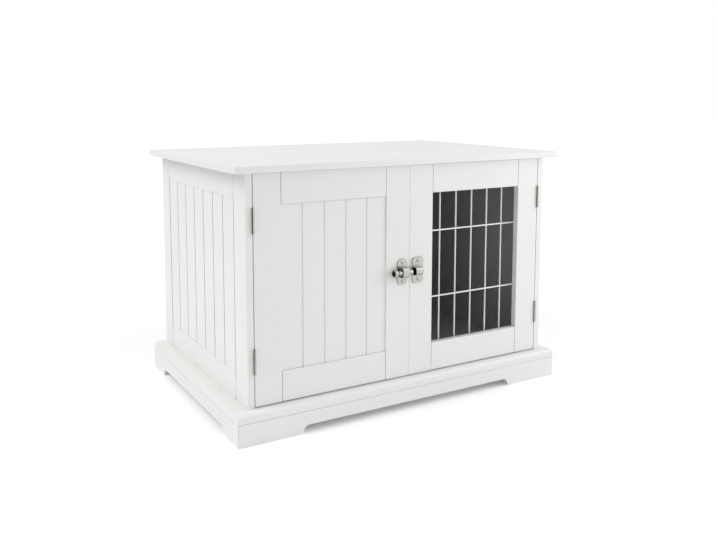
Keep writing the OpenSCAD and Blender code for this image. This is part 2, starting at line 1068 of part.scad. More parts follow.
module right_door_lock_stile() {
    color(PAINT)
        difference() {
            at_right_door()
                door_stile_piece(door_w - door_stile, door_w);
            at_keeper_screws()
                screw_hole(screw_r, screw_len);
        }
}

// A rail of the right door at height z, with the holes of the grille's clip screws
module right_door_rail(z) {
    difference() {
        at_right_door()
            door_rail_piece(z);
        at_clip_screws()
            screw_hole(screw_r, screw_len);
    }
}

module right_door_top_rail() {
    color(PAINT)
        right_door_rail(door_h - door_rail);
}

module right_door_bottom_rail() {
    color(PAINT)
        right_door_rail(0);
}

module left_door_hinge_stile() {
    color(PAINT)
        other_side()
            difference() {
                right_door_hinge_stile();
                at_right_door()
                    door_groove();
            }
}

module left_door_lock_stile() {
    color(PAINT)
        difference() {
            other_side()
                at_right_door()
                    difference() {
                        door_stile_piece(door_w - door_stile, door_w);
                        door_groove();
                    }
            at_bolt_plate_screws()
                screw_hole(screw_r, screw_len);
        }
}

// A rail of the left door at height z, grooved for the panel
module left_door_rail(z) {
    other_side()
        at_right_door()
            difference() {
                door_rail_piece(z);
                door_groove();
            }
}

module left_door_top_rail() {
    color(PAINT)
        left_door_rail(door_h - door_rail);
}

module left_door_bottom_rail() {
    color(PAINT)
        left_door_rail(0);
}

// The panel of the left door, with its beads spread evenly about the middle
module left_door_panel() {
    beads = floor((window_w - door_bead_pitch / 2) / door_bead_pitch);
    color(PAINT)
        other_side()
            at_right_door()
                translate([0, door_recess, 0])
                    difference() {
                        block([door_stile - groove_d + panel_play, 0, door_rail - groove_d + panel_play],
                              [door_w - door_stile + groove_d - panel_play, door_panel_t,
                               door_h - door_rail + groove_d - panel_play]);
                        for (i = [0 : beads - 1])
                            bead(door_w / 2 + (i - (beads - 1) / 2) * door_bead_pitch, 0, door_h);
                    }
}

// Grille

// The uprights of the grille, welded to the backs of the cross wires
module grille_uprights() {
    color(PAINT)
        at_right_door()
            for (i = [0 : grille_bays])
                translate([grille_in + i * upright_pitch, upright_y, grille_low - wire_d / 2])
                    cylinder(h = grille_high - grille_low + wire_d, d = wire_d);
}

// The cross wires of the grille, which lie against the back of the door
module grille_cross_wires() {
    color(PAINT)
        at_right_door()
            for (z = [grille_low, lower_wire_z, lower_wire_z + cross_wire_gap, grille_high])
                translate([grille_in - wire_d / 2, cross_y, z])
                    rotate([0, 90, 0])
                        cylinder(h = grille_out - grille_in + wire_d, d = wire_d);
}

// Places of the clips, which hold the lowest and the highest cross wire
module at_clips() {
    for (i = clip_bays, z = [grille_low, grille_high])
        at_right_door()
            translate([grille_in + (i + 0.5) * upright_pitch, board_t, z])
                children();
}

// A clip is a strap bent over the wire, with a foot above and below it
module grille_clips() {
    color(NICKEL)
        difference() {
            at_clips()
                difference() {
                    union() {
                        block([-clip_w / 2, 0, -clip_half], [clip_w / 2, clip_t, clip_half]);
                        block([-clip_w / 2, 0, -wire_d / 2 - clip_t],
                              [clip_w / 2, wire_d + clip_t, wire_d / 2 + clip_t]);
                    }
                    block([-clip_w / 2 - 1, -1, -wire_d / 2], [clip_w / 2 + 1, wire_d, wire_d / 2]);
                }
            at_clip_screws()
                screw_hole(screw_r, 1);
        }
}

// Places of the clip screws: one in the foot that lies on the rail, away from the window
module at_clip_screws() {
    for (i = clip_bays, end = [-1, 1])
        at_right_door()
            translate([grille_in + (i + 0.5) * upright_pitch, board_t + clip_t,
                       (end < 0 ? grille_low : grille_high) + end * (clip_half - clip_foot / 2)])
                rotate([-90, 0, 0])
                    children();
}

module clip_screws() {
    color(STEEL)
        at_clip_screws()
            round_screw(screw_r, screw_len, clip_foot / 2 - 0.2, round_head_h);
}

// Latch

// A channel that runs along X: its two front edges are round, and it goes straight back to base_y
module channel(low_x, high_x, r, rise, base_y) {
    for (side = [-1, 1])
        translate([low_x, bolt_y, latch_z + side * rise])
            rotate([0, 90, 0])
                cylinder(h = high_x - low_x, r = r);
    block([low_x, bolt_y - r, latch_z - rise], [high_x, base_y, latch_z + rise]);
    block([low_x, bolt_y, latch_z - r - rise], [high_x, base_y, latch_z + r + rise]);
}

// The hollow of a channel, which ends at the face of the plate under it
module hollow(low_x, high_x, r, rise) {
    channel(low_x, high_x, r, rise, front_y - plate_t);
}

// A bore along the bolt's axis
module bolt_bore(low_x, high_x) {
    translate([low_x, bolt_y, latch_z])
        rotate([0, 90, 0])
            cylinder(h = high_x - low_x, r = bolt_r + running_play);
}

// A plate on the face of the doors, centred at x
module face_plate(x, w, r) {
    translate([x, front_y, latch_z])
        rotate([90, 0, 0])
            linear_extrude(plate_t)
                round_rectangle(w, plate_h, r);
}

// Places of two screws, one above and one below the channel of a plate centred at x
module at_plate_screws(x) {
    for (side = [-1, 1])
        translate([x, front_y - plate_t, latch_z + side * plate_screw_gap / 2])
            rotate([90, 0, 0])
                children();
}

module at_bolt_plate_screws() {
    at_plate_screws(bolt_plate_x)
        children();
}

module at_keeper_screws() {
    at_plate_screws(keeper_x)
        children();
}

// The bolt's plate with its barrel, which is hollow at the knob's end and bored at the other
module bolt_plate() {
    color(NICKEL)
        difference() {
            union() {
                face_plate(bolt_plate_x, bolt_plate_w, bolt_plate_round);
                channel(barrel_end, -barrel_edge, barrel_r, barrel_rise, front_y);
            }
            hollow(barrel_end - 1, barrel_end + barrel_hollow, bolt_r + bolt_room,
                   barrel_r + barrel_rise - hump_wall - bolt_r - bolt_room);
            bolt_bore(barrel_end, 0);
            at_bolt_plate_screws()
                screw_hole(screw_r, plate_t + 1);
        }
}

// The keeper's plate with its hump, open towards the bolt
module keeper() {
    color(NICKEL)
        difference() {
            union() {
                face_plate(keeper_x, keeper_plate_w, keeper_plate_round);
                channel(keeper_plate_edge, keeper_plate_edge + hump_len, hump_r, hump_rise, front_y);
            }
            hollow(0, bolt_tip + bolt_travel + hump_room, bolt_r + bolt_room, hump_rise);
            at_keeper_screws()
                screw_hole(screw_r, plate_t + 1);
        }
}

module bolt_plate_screws() {
    color(STEEL)
        at_bolt_plate_screws()
            round_screw(screw_r, screw_len, plate_screw_head_r, round_head_h);
}

module keeper_screws() {
    color(STEEL)
        at_keeper_screws()
            round_screw(screw_r, screw_len, plate_screw_head_r, round_head_h);
}

// The bolt: a rod with a chamfered tip, and a spigot that holds the knob
module latch_bolt() {
    color(NICKEL)
        translate([0, bolt_y, latch_z])
            rotate([0, 90, 0]) {
                translate([0, 0, bolt_end])
                    cylinder(h = bolt_tip - bolt_tip_chamfer - bolt_end, r = bolt_r);
                translate([0, 0, bolt_tip - bolt_tip_chamfer])
                    cylinder(h = bolt_tip_chamfer, r1 = bolt_r, r2 = bolt_r - bolt_tip_chamfer);
                translate([0, 0, knob_x])
                    cylinder(h = bolt_end - knob_x + EPS, r = spigot_r);
            }
}

// The knob: a flattened ball with a neck, bored for the spigot
module latch_knob() {
    color(NICKEL)
        translate([0, bolt_y, latch_z])
            rotate([0, 90, 0])
                difference() {
                    union() {
                        translate([0, 0, knob_x])
                            rotate_extrude()
                                intersection() {
                                    union() {
                                        translate([knob_r - knob_w / 2, 0])
                                            circle(knob_w / 2);
                                        translate([0, -knob_w / 2])
                                            square([knob_r - knob_w / 2, knob_w]);
                                    }
                                    translate([0, -knob_w])
                                        square([knob_r + 1, 2 * knob_w]);
                                }
                        translate([0, 0, knob_x])
                            cylinder(h = bolt_end - knob_x, r = neck_r);
                    }
                    translate([0, 0, knob_x])
                        cylinder(h = bolt_end - knob_x + 1, r = spigot_r + seat_play);
                }
}

top_board();
base_board();
left_front_stile();
left_back_stile();
left_top_rail();
left_bottom_rail();
left_bead_board();
right_front_stile();
right_back_stile();
right_top_rail();
right_bottom_rail();
right_bead_board();
back_panel();
back_top_rail();
back_bottom_rail();
front_top_rail();
door_stop_strip();
front_skirt();
back_skirt();
left_skirt();
right_skirt();
corner_blocks();
cam_locks();
cam_dowels();
top_brackets();
bracket_screws();
back_panel_screws();
base_screws();
frame_hinge_leaves();
hinge_pins();
frame_leaf_screws();
magnetic_catches();
left_door_hinge_stile();
left_door_lock_stile();
left_door_top_rail();
left_door_bottom_rail();
left_door_panel();
left_door_leaves();
left_door_leaf_screws();
left_strike();
bolt_plate();
bolt_plate_screws();
latch_bolt();
latch_knob();
right_door_hinge_stile();
right_door_lock_stile();
right_door_top_rail();
right_door_bottom_rail();
grille_uprights();
grille_cross_wires();
grille_clips();
clip_screws();
right_door_leaves();
right_door_leaf_screws();
right_strike();
keeper();
keeper_screws();
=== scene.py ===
import math

import bmesh
import bpy
from mathutils import Matrix, Vector


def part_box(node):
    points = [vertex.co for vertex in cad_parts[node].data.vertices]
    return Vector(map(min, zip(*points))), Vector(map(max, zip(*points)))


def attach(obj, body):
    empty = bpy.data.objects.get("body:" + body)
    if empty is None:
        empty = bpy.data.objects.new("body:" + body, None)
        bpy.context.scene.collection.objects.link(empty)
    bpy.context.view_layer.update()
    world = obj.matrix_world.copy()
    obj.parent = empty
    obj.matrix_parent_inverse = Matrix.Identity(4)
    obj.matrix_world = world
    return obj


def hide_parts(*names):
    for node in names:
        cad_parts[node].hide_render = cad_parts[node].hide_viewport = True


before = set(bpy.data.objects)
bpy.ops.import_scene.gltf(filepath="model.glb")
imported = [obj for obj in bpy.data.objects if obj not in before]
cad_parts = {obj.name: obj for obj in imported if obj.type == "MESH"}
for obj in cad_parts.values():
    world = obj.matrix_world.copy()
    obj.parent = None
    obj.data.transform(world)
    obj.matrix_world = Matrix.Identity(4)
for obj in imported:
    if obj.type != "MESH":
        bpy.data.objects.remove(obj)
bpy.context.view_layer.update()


# Camera
# It stands to the left of the doors and a little above the table top. Its film is shifted down,
# as in the photograph, so that the piece sits where it does in the picture.
PHOTO_WIDTH = 716
PHOTO_HEIGHT = 540
FILM_WIDTH = 36
FOCAL_PIXELS = 794.6
PRINCIPAL_POINT = (347.4, 180.0)
CAMERA_PLACE = (-1.0588, -1.8079, 0.7475)
CAMERA_TURN = 30.13
CAMERA_DIP = 6.17

camera_data = bpy.data.cameras.new("camera")
camera_data.sensor_width = FILM_WIDTH
camera_data.lens = FOCAL_PIXELS / PHOTO_WIDTH * FILM_WIDTH
camera_data.shift_x = (PHOTO_WIDTH / 2 - PRINCIPAL_POINT[0]) / PHOTO_WIDTH
camera_data.shift_y = (PRINCIPAL_POINT[1] - PHOTO_HEIGHT / 2) / PHOTO_WIDTH
camera = bpy.data.objects.new("camera", camera_data)
camera.location = CAMERA_PLACE
camera.rotation_euler = (math.radians(90 - CAMERA_DIP), 0, math.radians(-CAMERA_TURN))
bpy.context.scene.collection.objects.link(camera)
bpy.context.scene.camera = camera
bpy.context.scene.view_settings.view_transform = "Standard"


# Studio
# A white paper floor under a white room, lit by two wide soft lamps. The room is white to the
# camera and in reflections, and dimmer as a light, so that the piece keeps its own tones.
FLOOR_HALF = 20
PAPER = "#FAFAFA"
NEAR_LIFT = 0.165
FAR_LIFT = 0.62
LIFT_STARTS = 0.7
LIFT_ENDS = 3.2
ROOM_LIGHT = 0.535
KEY_PLACE = (-3.1, 0.2, 3.2)
KEY_SIZE = 3.0
KEY_POWER = 81
FILL_PLACE = (2.45, -1.5, 1.3)
FILL_SIZE = 2.4
FILL_POWER = 45
LAMP_AIM = (0, 0, 0.3)
CARDS = (((-1.9, -1.1), (-1.2, 2.6), 2.2), ((-0.64, -0.76), (-0.95, 0.2), 0.6))
CARD_BLACK = "#050505"


def add(tree, kind, inputs=(), **settings):
    """Adds a node with its settings. An input is a value, a socket to link, or a list of sockets."""
    node = tree.nodes.new(kind)
    for name, value in settings.items():
        setattr(node, name, value)
    for key, value in dict(inputs).items():
        for part in value if isinstance(value, list) else [value]:
            if isinstance(part, bpy.types.NodeSocket):
                tree.links.new(part, node.inputs[key])
            else:
                node.inputs[key].default_value = part
    return node


def calc(tree, operation, *values):
    """The result of a math node."""
    return add(tree, "ShaderNodeMath", dict(enumerate(values)), operation=operation).outputs[0]


def colour(code):
    """An sRGB hex colour as linear red, green, blue and alpha."""
    parts = [int(code[i:i + 2], 16) / 255 for i in (1, 3, 5)]
    return tuple(p / 12.92 if p <= 0.04045 else ((p + 0.055) / 1.055) ** 2.4 for p in parts) + (1.0,)


def seen_directly(tree):
    """A factor that is 1 for what the camera sees straight, in a reflection or through glass."""
    path = add(tree, "ShaderNodeLightPath")
    either = calc(tree, "MAXIMUM", path.outputs["Is Camera Ray"], path.outputs["Is Glossy Ray"])
    return calc(tree, "MAXIMUM", either, path.outputs["Is Transmission Ray"])


paper = bpy.data.materials.new("white_studio_paper")
paper.use_nodes = True
tree = paper.node_tree
tree.nodes.clear()
matt = add(tree, "ShaderNodeBsdfDiffuse", {"Color": colour(PAPER)})
away = add(tree, "ShaderNodeVectorMath", {0: add(tree, "ShaderNodeTexCoord").outputs["Object"]},
           operation="LENGTH")
reach = add(tree, "ShaderNodeMapRange", {"Value": away.outputs["Value"], "From Min": LIFT_STARTS,
                                         "From Max": LIFT_ENDS, "To Min": NEAR_LIFT, "To Max": FAR_LIFT})
lift = calc(tree, "MULTIPLY", seen_directly(tree), reach.outputs[0])
glow = add(tree, "ShaderNodeEmission", {"Strength": lift})
both = add(tree, "ShaderNodeAddShader", {0: matt.outputs[0], 1: glow.outputs[0]})
add(tree, "ShaderNodeOutputMaterial", {"Surface": both.outputs[0]})

floor_mesh = bpy.data.meshes.new("studio_floor")
corners = [(x * FLOOR_HALF, y * FLOOR_HALF, 0) for x, y in ((-1, -1), (1, -1), (1, 1), (-1, 1))]
floor_mesh.from_pydata(corners, [], [(0, 1, 2, 3)])
floor_mesh.materials.append(paper)
floor = bpy.data.objects.new("studio_floor", floor_mesh)
bpy.context.scene.collection.objects.link(floor)

# Two black cards stand at the left, a wide one and a low one close by, seen in reflections alone:
# they draw the dark edges that the photograph has on its nickel parts, most on the left hinges.
card_paint = bpy.data.materials.new("black_studio_card")
card_paint.use_nodes = True
card_paint.node_tree.nodes["Principled BSDF"].inputs["Base Color"].default_value = colour(CARD_BLACK)
for (near_x, near_y), (far_x, far_y), tall in CARDS:
    card_mesh = bpy.data.meshes.new("black_card")
    corners = [(near_x, near_y, 0), (far_x, far_y, 0), (far_x, far_y, tall), (near_x, near_y, tall)]
    card_mesh.from_pydata(corners, [], [(0, 1, 2, 3)])
    card_mesh.materials.append(card_paint)
    card = bpy.data.objects.new("black_card", card_mesh)
    card.visible_camera = False
    card.visible_diffuse = False
    card.visible_shadow = False
    bpy.context.scene.collection.objects.link(card)

room = bpy.data.worlds.new("white_room")
bpy.context.scene.world = room
room.use_nodes = True
tree = room.node_tree
tree.nodes.clear()
level = add(tree, "ShaderNodeMapRange", {"Value": seen_directly(tree), "To Min": ROOM_LIGHT, "To Max": 1.0})
sky = add(tree, "ShaderNodeBackground", {"Color": (1, 1, 1, 1), "Strength": level.outputs[0]})
add(tree, "ShaderNodeOutputWorld", {"Surface": sky.outputs[0]})

for name, place, size, power in (("key_lamp", KEY_PLACE, KEY_SIZE, KEY_POWER),
                                 ("fill_lamp", FILL_PLACE, FILL_SIZE, FILL_POWER)):
    lamp_data = bpy.data.lights.new(name, "AREA")
    lamp_data.shape = "DISK"
    lamp_data.size = size
    lamp_data.energy = power
    lamp = bpy.data.objects.new(name, lamp_data)
    lamp.location = place
    lamp.rotation_euler = (Vector(LAMP_AIM) - Vector(place)).to_track_quat("-Z", "Y").to_euler()
    bpy.context.scene.collection.objects.link(lamp)


# Base board and skirt
# The base is one board of fibreboard, which is also the cabin's floor, on four skirt boards cut
# out below into bracket feet, with a glue block in each corner. All of it is primed, sanded and
# sprayed with satin white lacquer, and the faces inside the cabin are painted pale grey as painted shade.
EASED_EDGE = 0.0012
EDGE_STEPS = 3
JOINT_SHRINK = 0.0002
MERGE_GAP = 0.000002
FLAT_ANGLE = math.radians(1)
SHARP_ANGLE = math.radians(28)
CREASE_ANGLE = math.radians(50)
SMALL_HOLE = 0.022
MEETING_EDGE = 0.003
MEETING_SHARE = 0.3
MEETING_GAP = 0.0007
TENON_LENGTH = 0.007
GROOVE_SHADE_REACH = 0.6
CABIN_LOW = Vector((-0.4085, -0.2612, 0.0715))
CABIN_HIGH = Vector((0.4085, 0.2835, 0.5845))
LOOK_AHEAD = 0.001


def mottled(name, sockets, light, dull, rough, mottle, depth, grain=None, stretch=(1.0, 1.0, 1.0)):
    """A finish that wanders between two colours and two degrees of roughness with its mottle. Its
    fine relief follows a grain of its own, which can be stretched, or else the mottle."""
    finish = bpy.data.materials.new(name)
    finish.use_nodes = True
    tree = finish.node_tree
    shader = tree.nodes["Principled BSDF"]
    for socket, value in sockets.items():
        shader.inputs[socket].default_value = value
    at = add(tree, "ShaderNodeTexCoord").outputs["Object"]
    patches = add(tree, "ShaderNodeTexNoise", {"Vector": at, **mottle}).outputs["Fac"]
    tint = add(tree, "ShaderNodeMix", {0: patches, 6: colour(light), 7: colour(dull)}, data_type="RGBA")
    gloss = add(tree, "ShaderNodeMapRange", {"Value": patches, "To Min": rough[0], "To Max": rough[1]})
    height = patches
    if grain:
        along = add(tree, "ShaderNodeMapping", {"Vector": at, "Scale": stretch}).outputs[0]
        height = add(tree, "ShaderNodeTexNoise", {"Vector": along, **grain}).outputs["Fac"]
    relief = add(tree, "ShaderNodeBump", {"Height": height, "Distance": depth})
    tree.links.new(tint.outputs[2], shader.inputs["Base Color"])
    tree.links.new(gloss.outputs[0], shader.inputs["Roughness"])
    tree.links.new(relief.outputs[0], shader.inputs["Normal"])
    return finish


# Satin white lacquer, sprayed: an even, very slightly warm white. It gives the eye a soft sheen
# with a faint orange peel, here 4 mm across instead of about 1 mm so that it can show, and a gloss
# that wanders a little where the coat is thinner.
LACQUER_WHITE = "#EFEFEE"
LACQUER_THIN = "#E9E9E7"
GROOVE_SHADE_WHITE = "#CCCCCA"
GROOVE_SHADE_DULL = "#C4C4C1"
PEEL_WIDTH = 0.004
PEEL_DEPTH = 0.00002
COAT_PATCH = 0.22
SPRAYED = {"rough": (0.38, 0.5), "mottle": {"Scale": 1 / COAT_PATCH, "Detail": 3.0},
           "grain": {"Scale": 1 / PEEL_WIDTH, "Detail": 1.0}, "depth": PEEL_DEPTH}
lacquer = mottled("satin_white_lacquer", {"IOR": 1.48, "Specular IOR Level": 0.45},
                  LACQUER_WHITE, LACQUER_THIN, **SPRAYED)

# In the beads and joints of the sides the lacquer is painted greyer, as painted shade for these grooves,
# with less sheen.
groove_shade_coat = mottled("lacquer_with_painted_groove_shade", {"Specular IOR Level": 0.2},
                    GROOVE_SHADE_WHITE, GROOVE_SHADE_DULL, **SPRAYED)

# The faces inside the cabin, painted pale grey as painted shade for the dim cabin: a dull film with a
# fine pressed texture and faint darker scuffs.
CABIN_SHADE_GREY = "#C0C1C2"
CABIN_SHADE_SCUFFED = "#B6B7B8"
PRESSED_GRAIN = 0.003
PRESSED_DEPTH = 0.00003
cabin_shade_lining = mottled("pale_grey_painted_cabin_shade", {"Specular IOR Level": 0.3}, CABIN_SHADE_GREY, CABIN_SHADE_SCUFFED,
                 rough=(0.5, 0.62), mottle={"Scale": 9.0, "Detail": 5.0, "Roughness": 0.6},
                 grain={"Scale": 1 / PRESSED_GRAIN, "Detail": 2.0}, depth=PRESSED_DEPTH)


def arrises(bm):
    """The sharp edges of a mesh, without the rims of small holes."""
    sharp = {e for e in bm.edges if e.is_manifold and e.calc_face_angle() > SHARP_ANGLE}
    kept = []
    while sharp:
        chain, waiting = [], [sharp.pop()]
        while waiting:
            edge = waiting.pop()
            chain.append(edge)
            near = {n for v in edge.verts for n in v.link_edges if n in sharp}
            sharp -= near
            waiting.extend(near)
        points = [v.co for e in chain for v in e.verts]
        span = max(max(p[i] for p in points) - min(p[i] for p in points) for i in range(3))
        if span > SMALL_HOLE:
            kept.extend(chain)
    return kept


def faces_cabin(middle, normal):
    """Whether a face looks into the cabin."""
    before = middle + normal * LOOK_AHEAD
    return all(CABIN_LOW[i] < before[i] < CABIN_HIGH[i] for i in range(3))


def shade_cabin_faces(bm):
    """Gives the faces that look into the cabin the second finish, the painted cabin shade, cut off at the
    doors and walls.
    """
    for axis, place in ((0, CABIN_LOW.x), (0, CABIN_HIGH.x), (1, CABIN_LOW.y), (1, CABIN_HIGH.y)):
        places = [v.co[axis] for v in bm.verts]
        if min(places) < place - MERGE_GAP and max(places) > place + MERGE_GAP:
            across = Vector([float(i == axis) for i in range(3)])
            bmesh.ops.bisect_plane(bm, geom=bm.verts[:] + bm.edges[:] + bm.faces[:],
                                   plane_co=across * place, plane_no=across)
    bm.normal_update()
    for face in bm.faces:
        if faces_cabin(face.calc_center_median(), face.normal):
            face.material_index = 1


def shade(mesh):
    """Smooth shading in which whole flats keep their own normal, however they are cut into faces."""
    bm = bmesh.new()
    bm.from_mesh(mesh)
    bmesh.ops.dissolve_degenerate(bm, dist=MERGE_GAP, edges=bm.edges)
    bmesh.ops.triangulate(bm, faces=[face for face in bm.faces if len(face.verts) > 4])
    bm.normal_update()
    for edge in bm.edges:
        if not edge.is_manifold or edge.calc_face_angle() > CREASE_ANGLE:
            edge.smooth = False
    areas = {}
    for first in bm.faces:
        if first in areas:
            continue
        flat, waiting = {first}, [first]
        while waiting:
            for edge in waiting.pop().edges:
                for face in edge.link_faces:
                    if face not in flat and face.normal.angle(first.normal, math.pi) < FLAT_ANGLE:
                        flat.add(face)
                        waiting.append(face)
        areas.update(dict.fromkeys(flat, sum(face.calc_area() for face in flat)))
    normals = {}
    for vertex in bm.verts:
        loose = set(vertex.link_faces)
        while loose:
            fan, waiting = set(), [loose.pop()]
            while waiting:
                face = waiting.pop()
                fan.add(face)
                across = {f for e in face.edges if e.smooth and vertex in e.verts for f in e.link_faces}
                waiting.extend(across & loose)
                loose -= across
            leaning = sum((face.normal * areas[face] ** 2 for face in fan), Vector())
            normals.update({(vertex, face): leaning.normalized() for face in fan})
    bm.to_mesh(mesh)
    mesh.normals_split_custom_set([normals[loop.vert, face] for face in bm.faces for loop in face.loops])
    bm.free()


def eased_mesh(name, bm, edge):
    """Writes a mesh whose arrises are rounded, less so where two doors meet, and shaded smooth."""
    weight = bm.edges.layers.float.new("bevel_weight_edge")
    for corner in bm.edges:
        corner.smooth = corner.is_manifold and corner.calc_face_angle() <= SHARP_ANGLE
    for arris in arrises(bm):
        meeting = all(abs(v.co.x) < MEETING_EDGE for v in arris.verts)
        arris[weight] = MEETING_SHARE if meeting else 1.0
        arris.smooth = True
    mesh = bpy.data.meshes.new(name)
    bm.to_mesh(mesh)
    bm.free()
    mesh.polygons.foreach_set("use_smooth", [True] * len(mesh.polygons))
    rough = bpy.data.objects.new(name, mesh)
    bpy.context.scene.collection.objects.link(rough)
    bevel = rough.modifiers.new("arrises", "BEVEL")
    bevel.limit_method = "WEIGHT"
    bevel.width = edge
    bevel.segments = EDGE_STEPS
    smooth = bpy.data.meshes.new_from_object(rough.evaluated_get(bpy.context.evaluated_depsgraph_get()))
    bpy.data.objects.remove(rough)
    smooth.name = name
    shade(smooth)
    return smooth


def merged_copy(*nodes):
    """A bmesh of CAD nodes, with their loose triangles joined and flat faces made whole."""
    bm = bmesh.new()
    for node in nodes:
        bm.from_mesh(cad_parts[node].data)
    bmesh.ops.remove_doubles(bm, verts=bm.verts, dist=MERGE_GAP)
    bmesh.ops.dissolve_limit(bm, angle_limit=FLAT_ANGLE, verts=bm.verts, edges=bm.edges)
    for face in bm.faces:
        face.material_index = 0
    return bm


def fitted(name, mesh, finishes, body, slot, *nodes):
    """Puts a finished piece in the scene, on its body, in place of its CAD nodes."""
    indices = [face.material_index for face in mesh.polygons]
    mesh.materials.clear()
    for finish in finishes:
        mesh.materials.append(finish)
    mesh.polygons.foreach_set("material_index", indices)
    piece = bpy.data.objects.new(name, mesh)
    bpy.context.scene.collection.objects.link(piece)
    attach(piece, body)
    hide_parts(*nodes)
    return piece


def painted_board(node, body, edge=EASED_EDGE, rail_axis=None, joint=0):
    """A lacquered board: the CAD board with its arrises eased, painted grey as cabin shade where it faces
    the cabin.
    A rail along an axis leaves an open joint at its shoulders, painted with groove shade where wide, and
    two doors nearly meet."""
    bm = merged_copy(node)
    bm.normal_update()
    for vertex, inwards in [(v, v.normal * v.calc_shell_factor()) for v in bm.verts]:
        vertex.co -= inwards * JOINT_SHRINK
    if rail_axis is not None:
        low, high = min(v.co[rail_axis] for v in bm.verts), max(v.co[rail_axis] for v in bm.verts)
        for vertex in bm.verts:
            for end, inwards in ((low, 1), (high, -1)):
                if abs(vertex.co[rail_axis] - end - inwards * TENON_LENGTH) < JOINT_SHRINK:
                    vertex.co[rail_axis] += inwards * joint
    if node.endswith("lock_stile"):
        for vertex in bm.verts:
            if abs(vertex.co.x) < MEETING_EDGE:
                vertex.co.x = math.copysign(MEETING_GAP / 2, vertex.co.x)
    # The faces into the cabin get the painted cabin shade.
    if body == "cabinet":
        shade_cabin_faces(bm)
    name = "lacquered_" + node
    mesh = eased_mesh(name, bm, edge)
    # The shoulder faces of a wide open joint take the painted groove shade.
    for face in mesh.polygons:
        if joint >= EASED_EDGE and abs(face.normal[rail_axis]) > GROOVE_SHADE_REACH:
            face.material_index = 2
    return fitted(name, mesh, [lacquer, cabin_shade_lining, groove_shade_coat], body, "white_paint", node)


painted_board("base_board", "cabinet")
for side in ("front", "back", "left", "right"):
    painted_board(side + "_skirt", "cabinet")
painted_board("corner_blocks", "cabinet")


# Base screws
# Zinc-plated wood screws, driven up through the base board into the sides and the back. Every
# screw of the piece is made by this one rule: a domed or flat head with a cross recess, on a shank.
DOMED = {"Dome": 0.0016, "Sink": 0.0002, "Recess width": 0.0009, "Recess depth": 0.0013}
FLAT = {"Dome": 0.0002, "Sink": 0.0016, "Recess width": 0.0009, "Recess depth": 0.0013}
RECESS_SPAN = 0.62
HEAD_SIDES = 20
HEAD_RINGS = 10
SHANK_SIDES = 12
SHANK_STARTS = 0.4
LEAST_SHANK = 0.0008

# Bright zinc plate: pale bluish grey, with the faint mottle of the plating bath, 6 mm across, and
# a clear but soft shine.
ZINC_LIGHT = "#C3C5C8"
ZINC_DULL = "#A6A9AD"
MOTTLE_WIDTH = 0.006
zinc = mottled("bright_zinc_plate", {"Metallic": 1.0}, ZINC_LIGHT, ZINC_DULL,
               rough=(0.26, 0.44), mottle={"Scale": 1 / MOTTLE_WIDTH, "Detail": 3.0}, depth=0.00003)


def vector(rule, **parts):
    """A vector of its X, Y and Z parts."""
    return add(rule, "ShaderNodeCombineXYZ", parts).outputs[0]


def moved(rule, geometry, place):
    """Geometry moved by a vector."""
    return add(rule, "GeometryNodeTransform", {"Geometry": geometry, "Translation": place}).outputs[0]


def new_rule(name, inputs):
    """A node tree for a rule, with its named inputs. Returns the tree and its input sockets."""
    rule = bpy.data.node_groups.new(name, "GeometryNodeTree")
    rule.interface.new_socket("Geometry", in_out="INPUT", socket_type="NodeSocketGeometry")
    for label, kind in inputs:
        rule.interface.new_socket(label, in_out="INPUT", socket_type="NodeSocket" + kind)
    rule.interface.new_socket("Geometry", in_out="OUTPUT", socket_type="NodeSocketGeometry")
    return rule, add(rule, "NodeGroupInput").outputs


def grown(name, rule, seed, settings):
    """The plain mesh that a rule makes of a seed mesh."""
    source = bpy.data.objects.new(name, seed)
    bpy.context.scene.collection.objects.link(source)
    modifier = source.modifiers.new("rule", "NODES")
    modifier.node_group = rule
    for item in rule.interface.items_tree:
        if item.in_out == "INPUT" and item.name in settings:
            modifier[item.identifier] = settings[item.name]
    mesh = bpy.data.meshes.new_from_object(source.evaluated_get(bpy.context.evaluated_depsgraph_get()))
    source.modifiers.remove(modifier)
    bpy.data.objects.remove(source)
    mesh.name = name
    return mesh


rule, given = new_rule("cross_recess_screws", [
    ("Head radius", "Float"), ("Dome", "Float"), ("Sink", "Float"), ("Shank radius", "Float"),
    ("Length", "Float"), ("Recess span", "Float"), ("Recess width", "Float"), ("Recess depth", "Float"),
    ("Seed", "Int"), ("Finish", "Material")])
flatness = calc(rule, "DIVIDE", given["Dome"], given["Head radius"])
ball = add(rule, "GeometryNodeMeshUVSphere", {"Segments": HEAD_SIDES, "Rings": HEAD_RINGS,
                                              "Radius": given["Head radius"]})
squat = vector(rule, X=1.0, Y=1.0, Z=flatness)
seat = calc(rule, "MULTIPLY", given["Dome"], -1.0)
dome = add(rule, "GeometryNodeTransform", {"Geometry": ball.outputs["Mesh"], "Scale": squat,
                                           "Translation": vector(rule, Z=seat)})
wide = calc(rule, "MULTIPLY", given["Head radius"], 4.0)
tall = calc(rule, "MULTIPLY", given["Dome"], 4.0)
slab = add(rule, "GeometryNodeMeshCube", {"Size": vector(rule, X=wide, Y=wide, Z=tall)})
slab_drop = calc(rule, "MULTIPLY", given["Dome"], -3.0)
slab_low = moved(rule, slab.outputs["Mesh"], vector(rule, Z=slab_drop))
cap = add(rule, "GeometryNodeMeshBoolean", {0: dome.outputs[0], 1: slab_low}, operation="DIFFERENCE",
          solver="MANIFOLD")
under = calc(rule, "SUBTRACT", seat, given["Sink"])
cone = add(rule, "GeometryNodeMeshCone", {"Vertices": HEAD_SIDES, "Radius Top": given["Head radius"],
                                          "Radius Bottom": given["Shank radius"], "Depth": given["Sink"]})
cone_low = moved(rule, cone.outputs["Mesh"], vector(rule, Z=under))
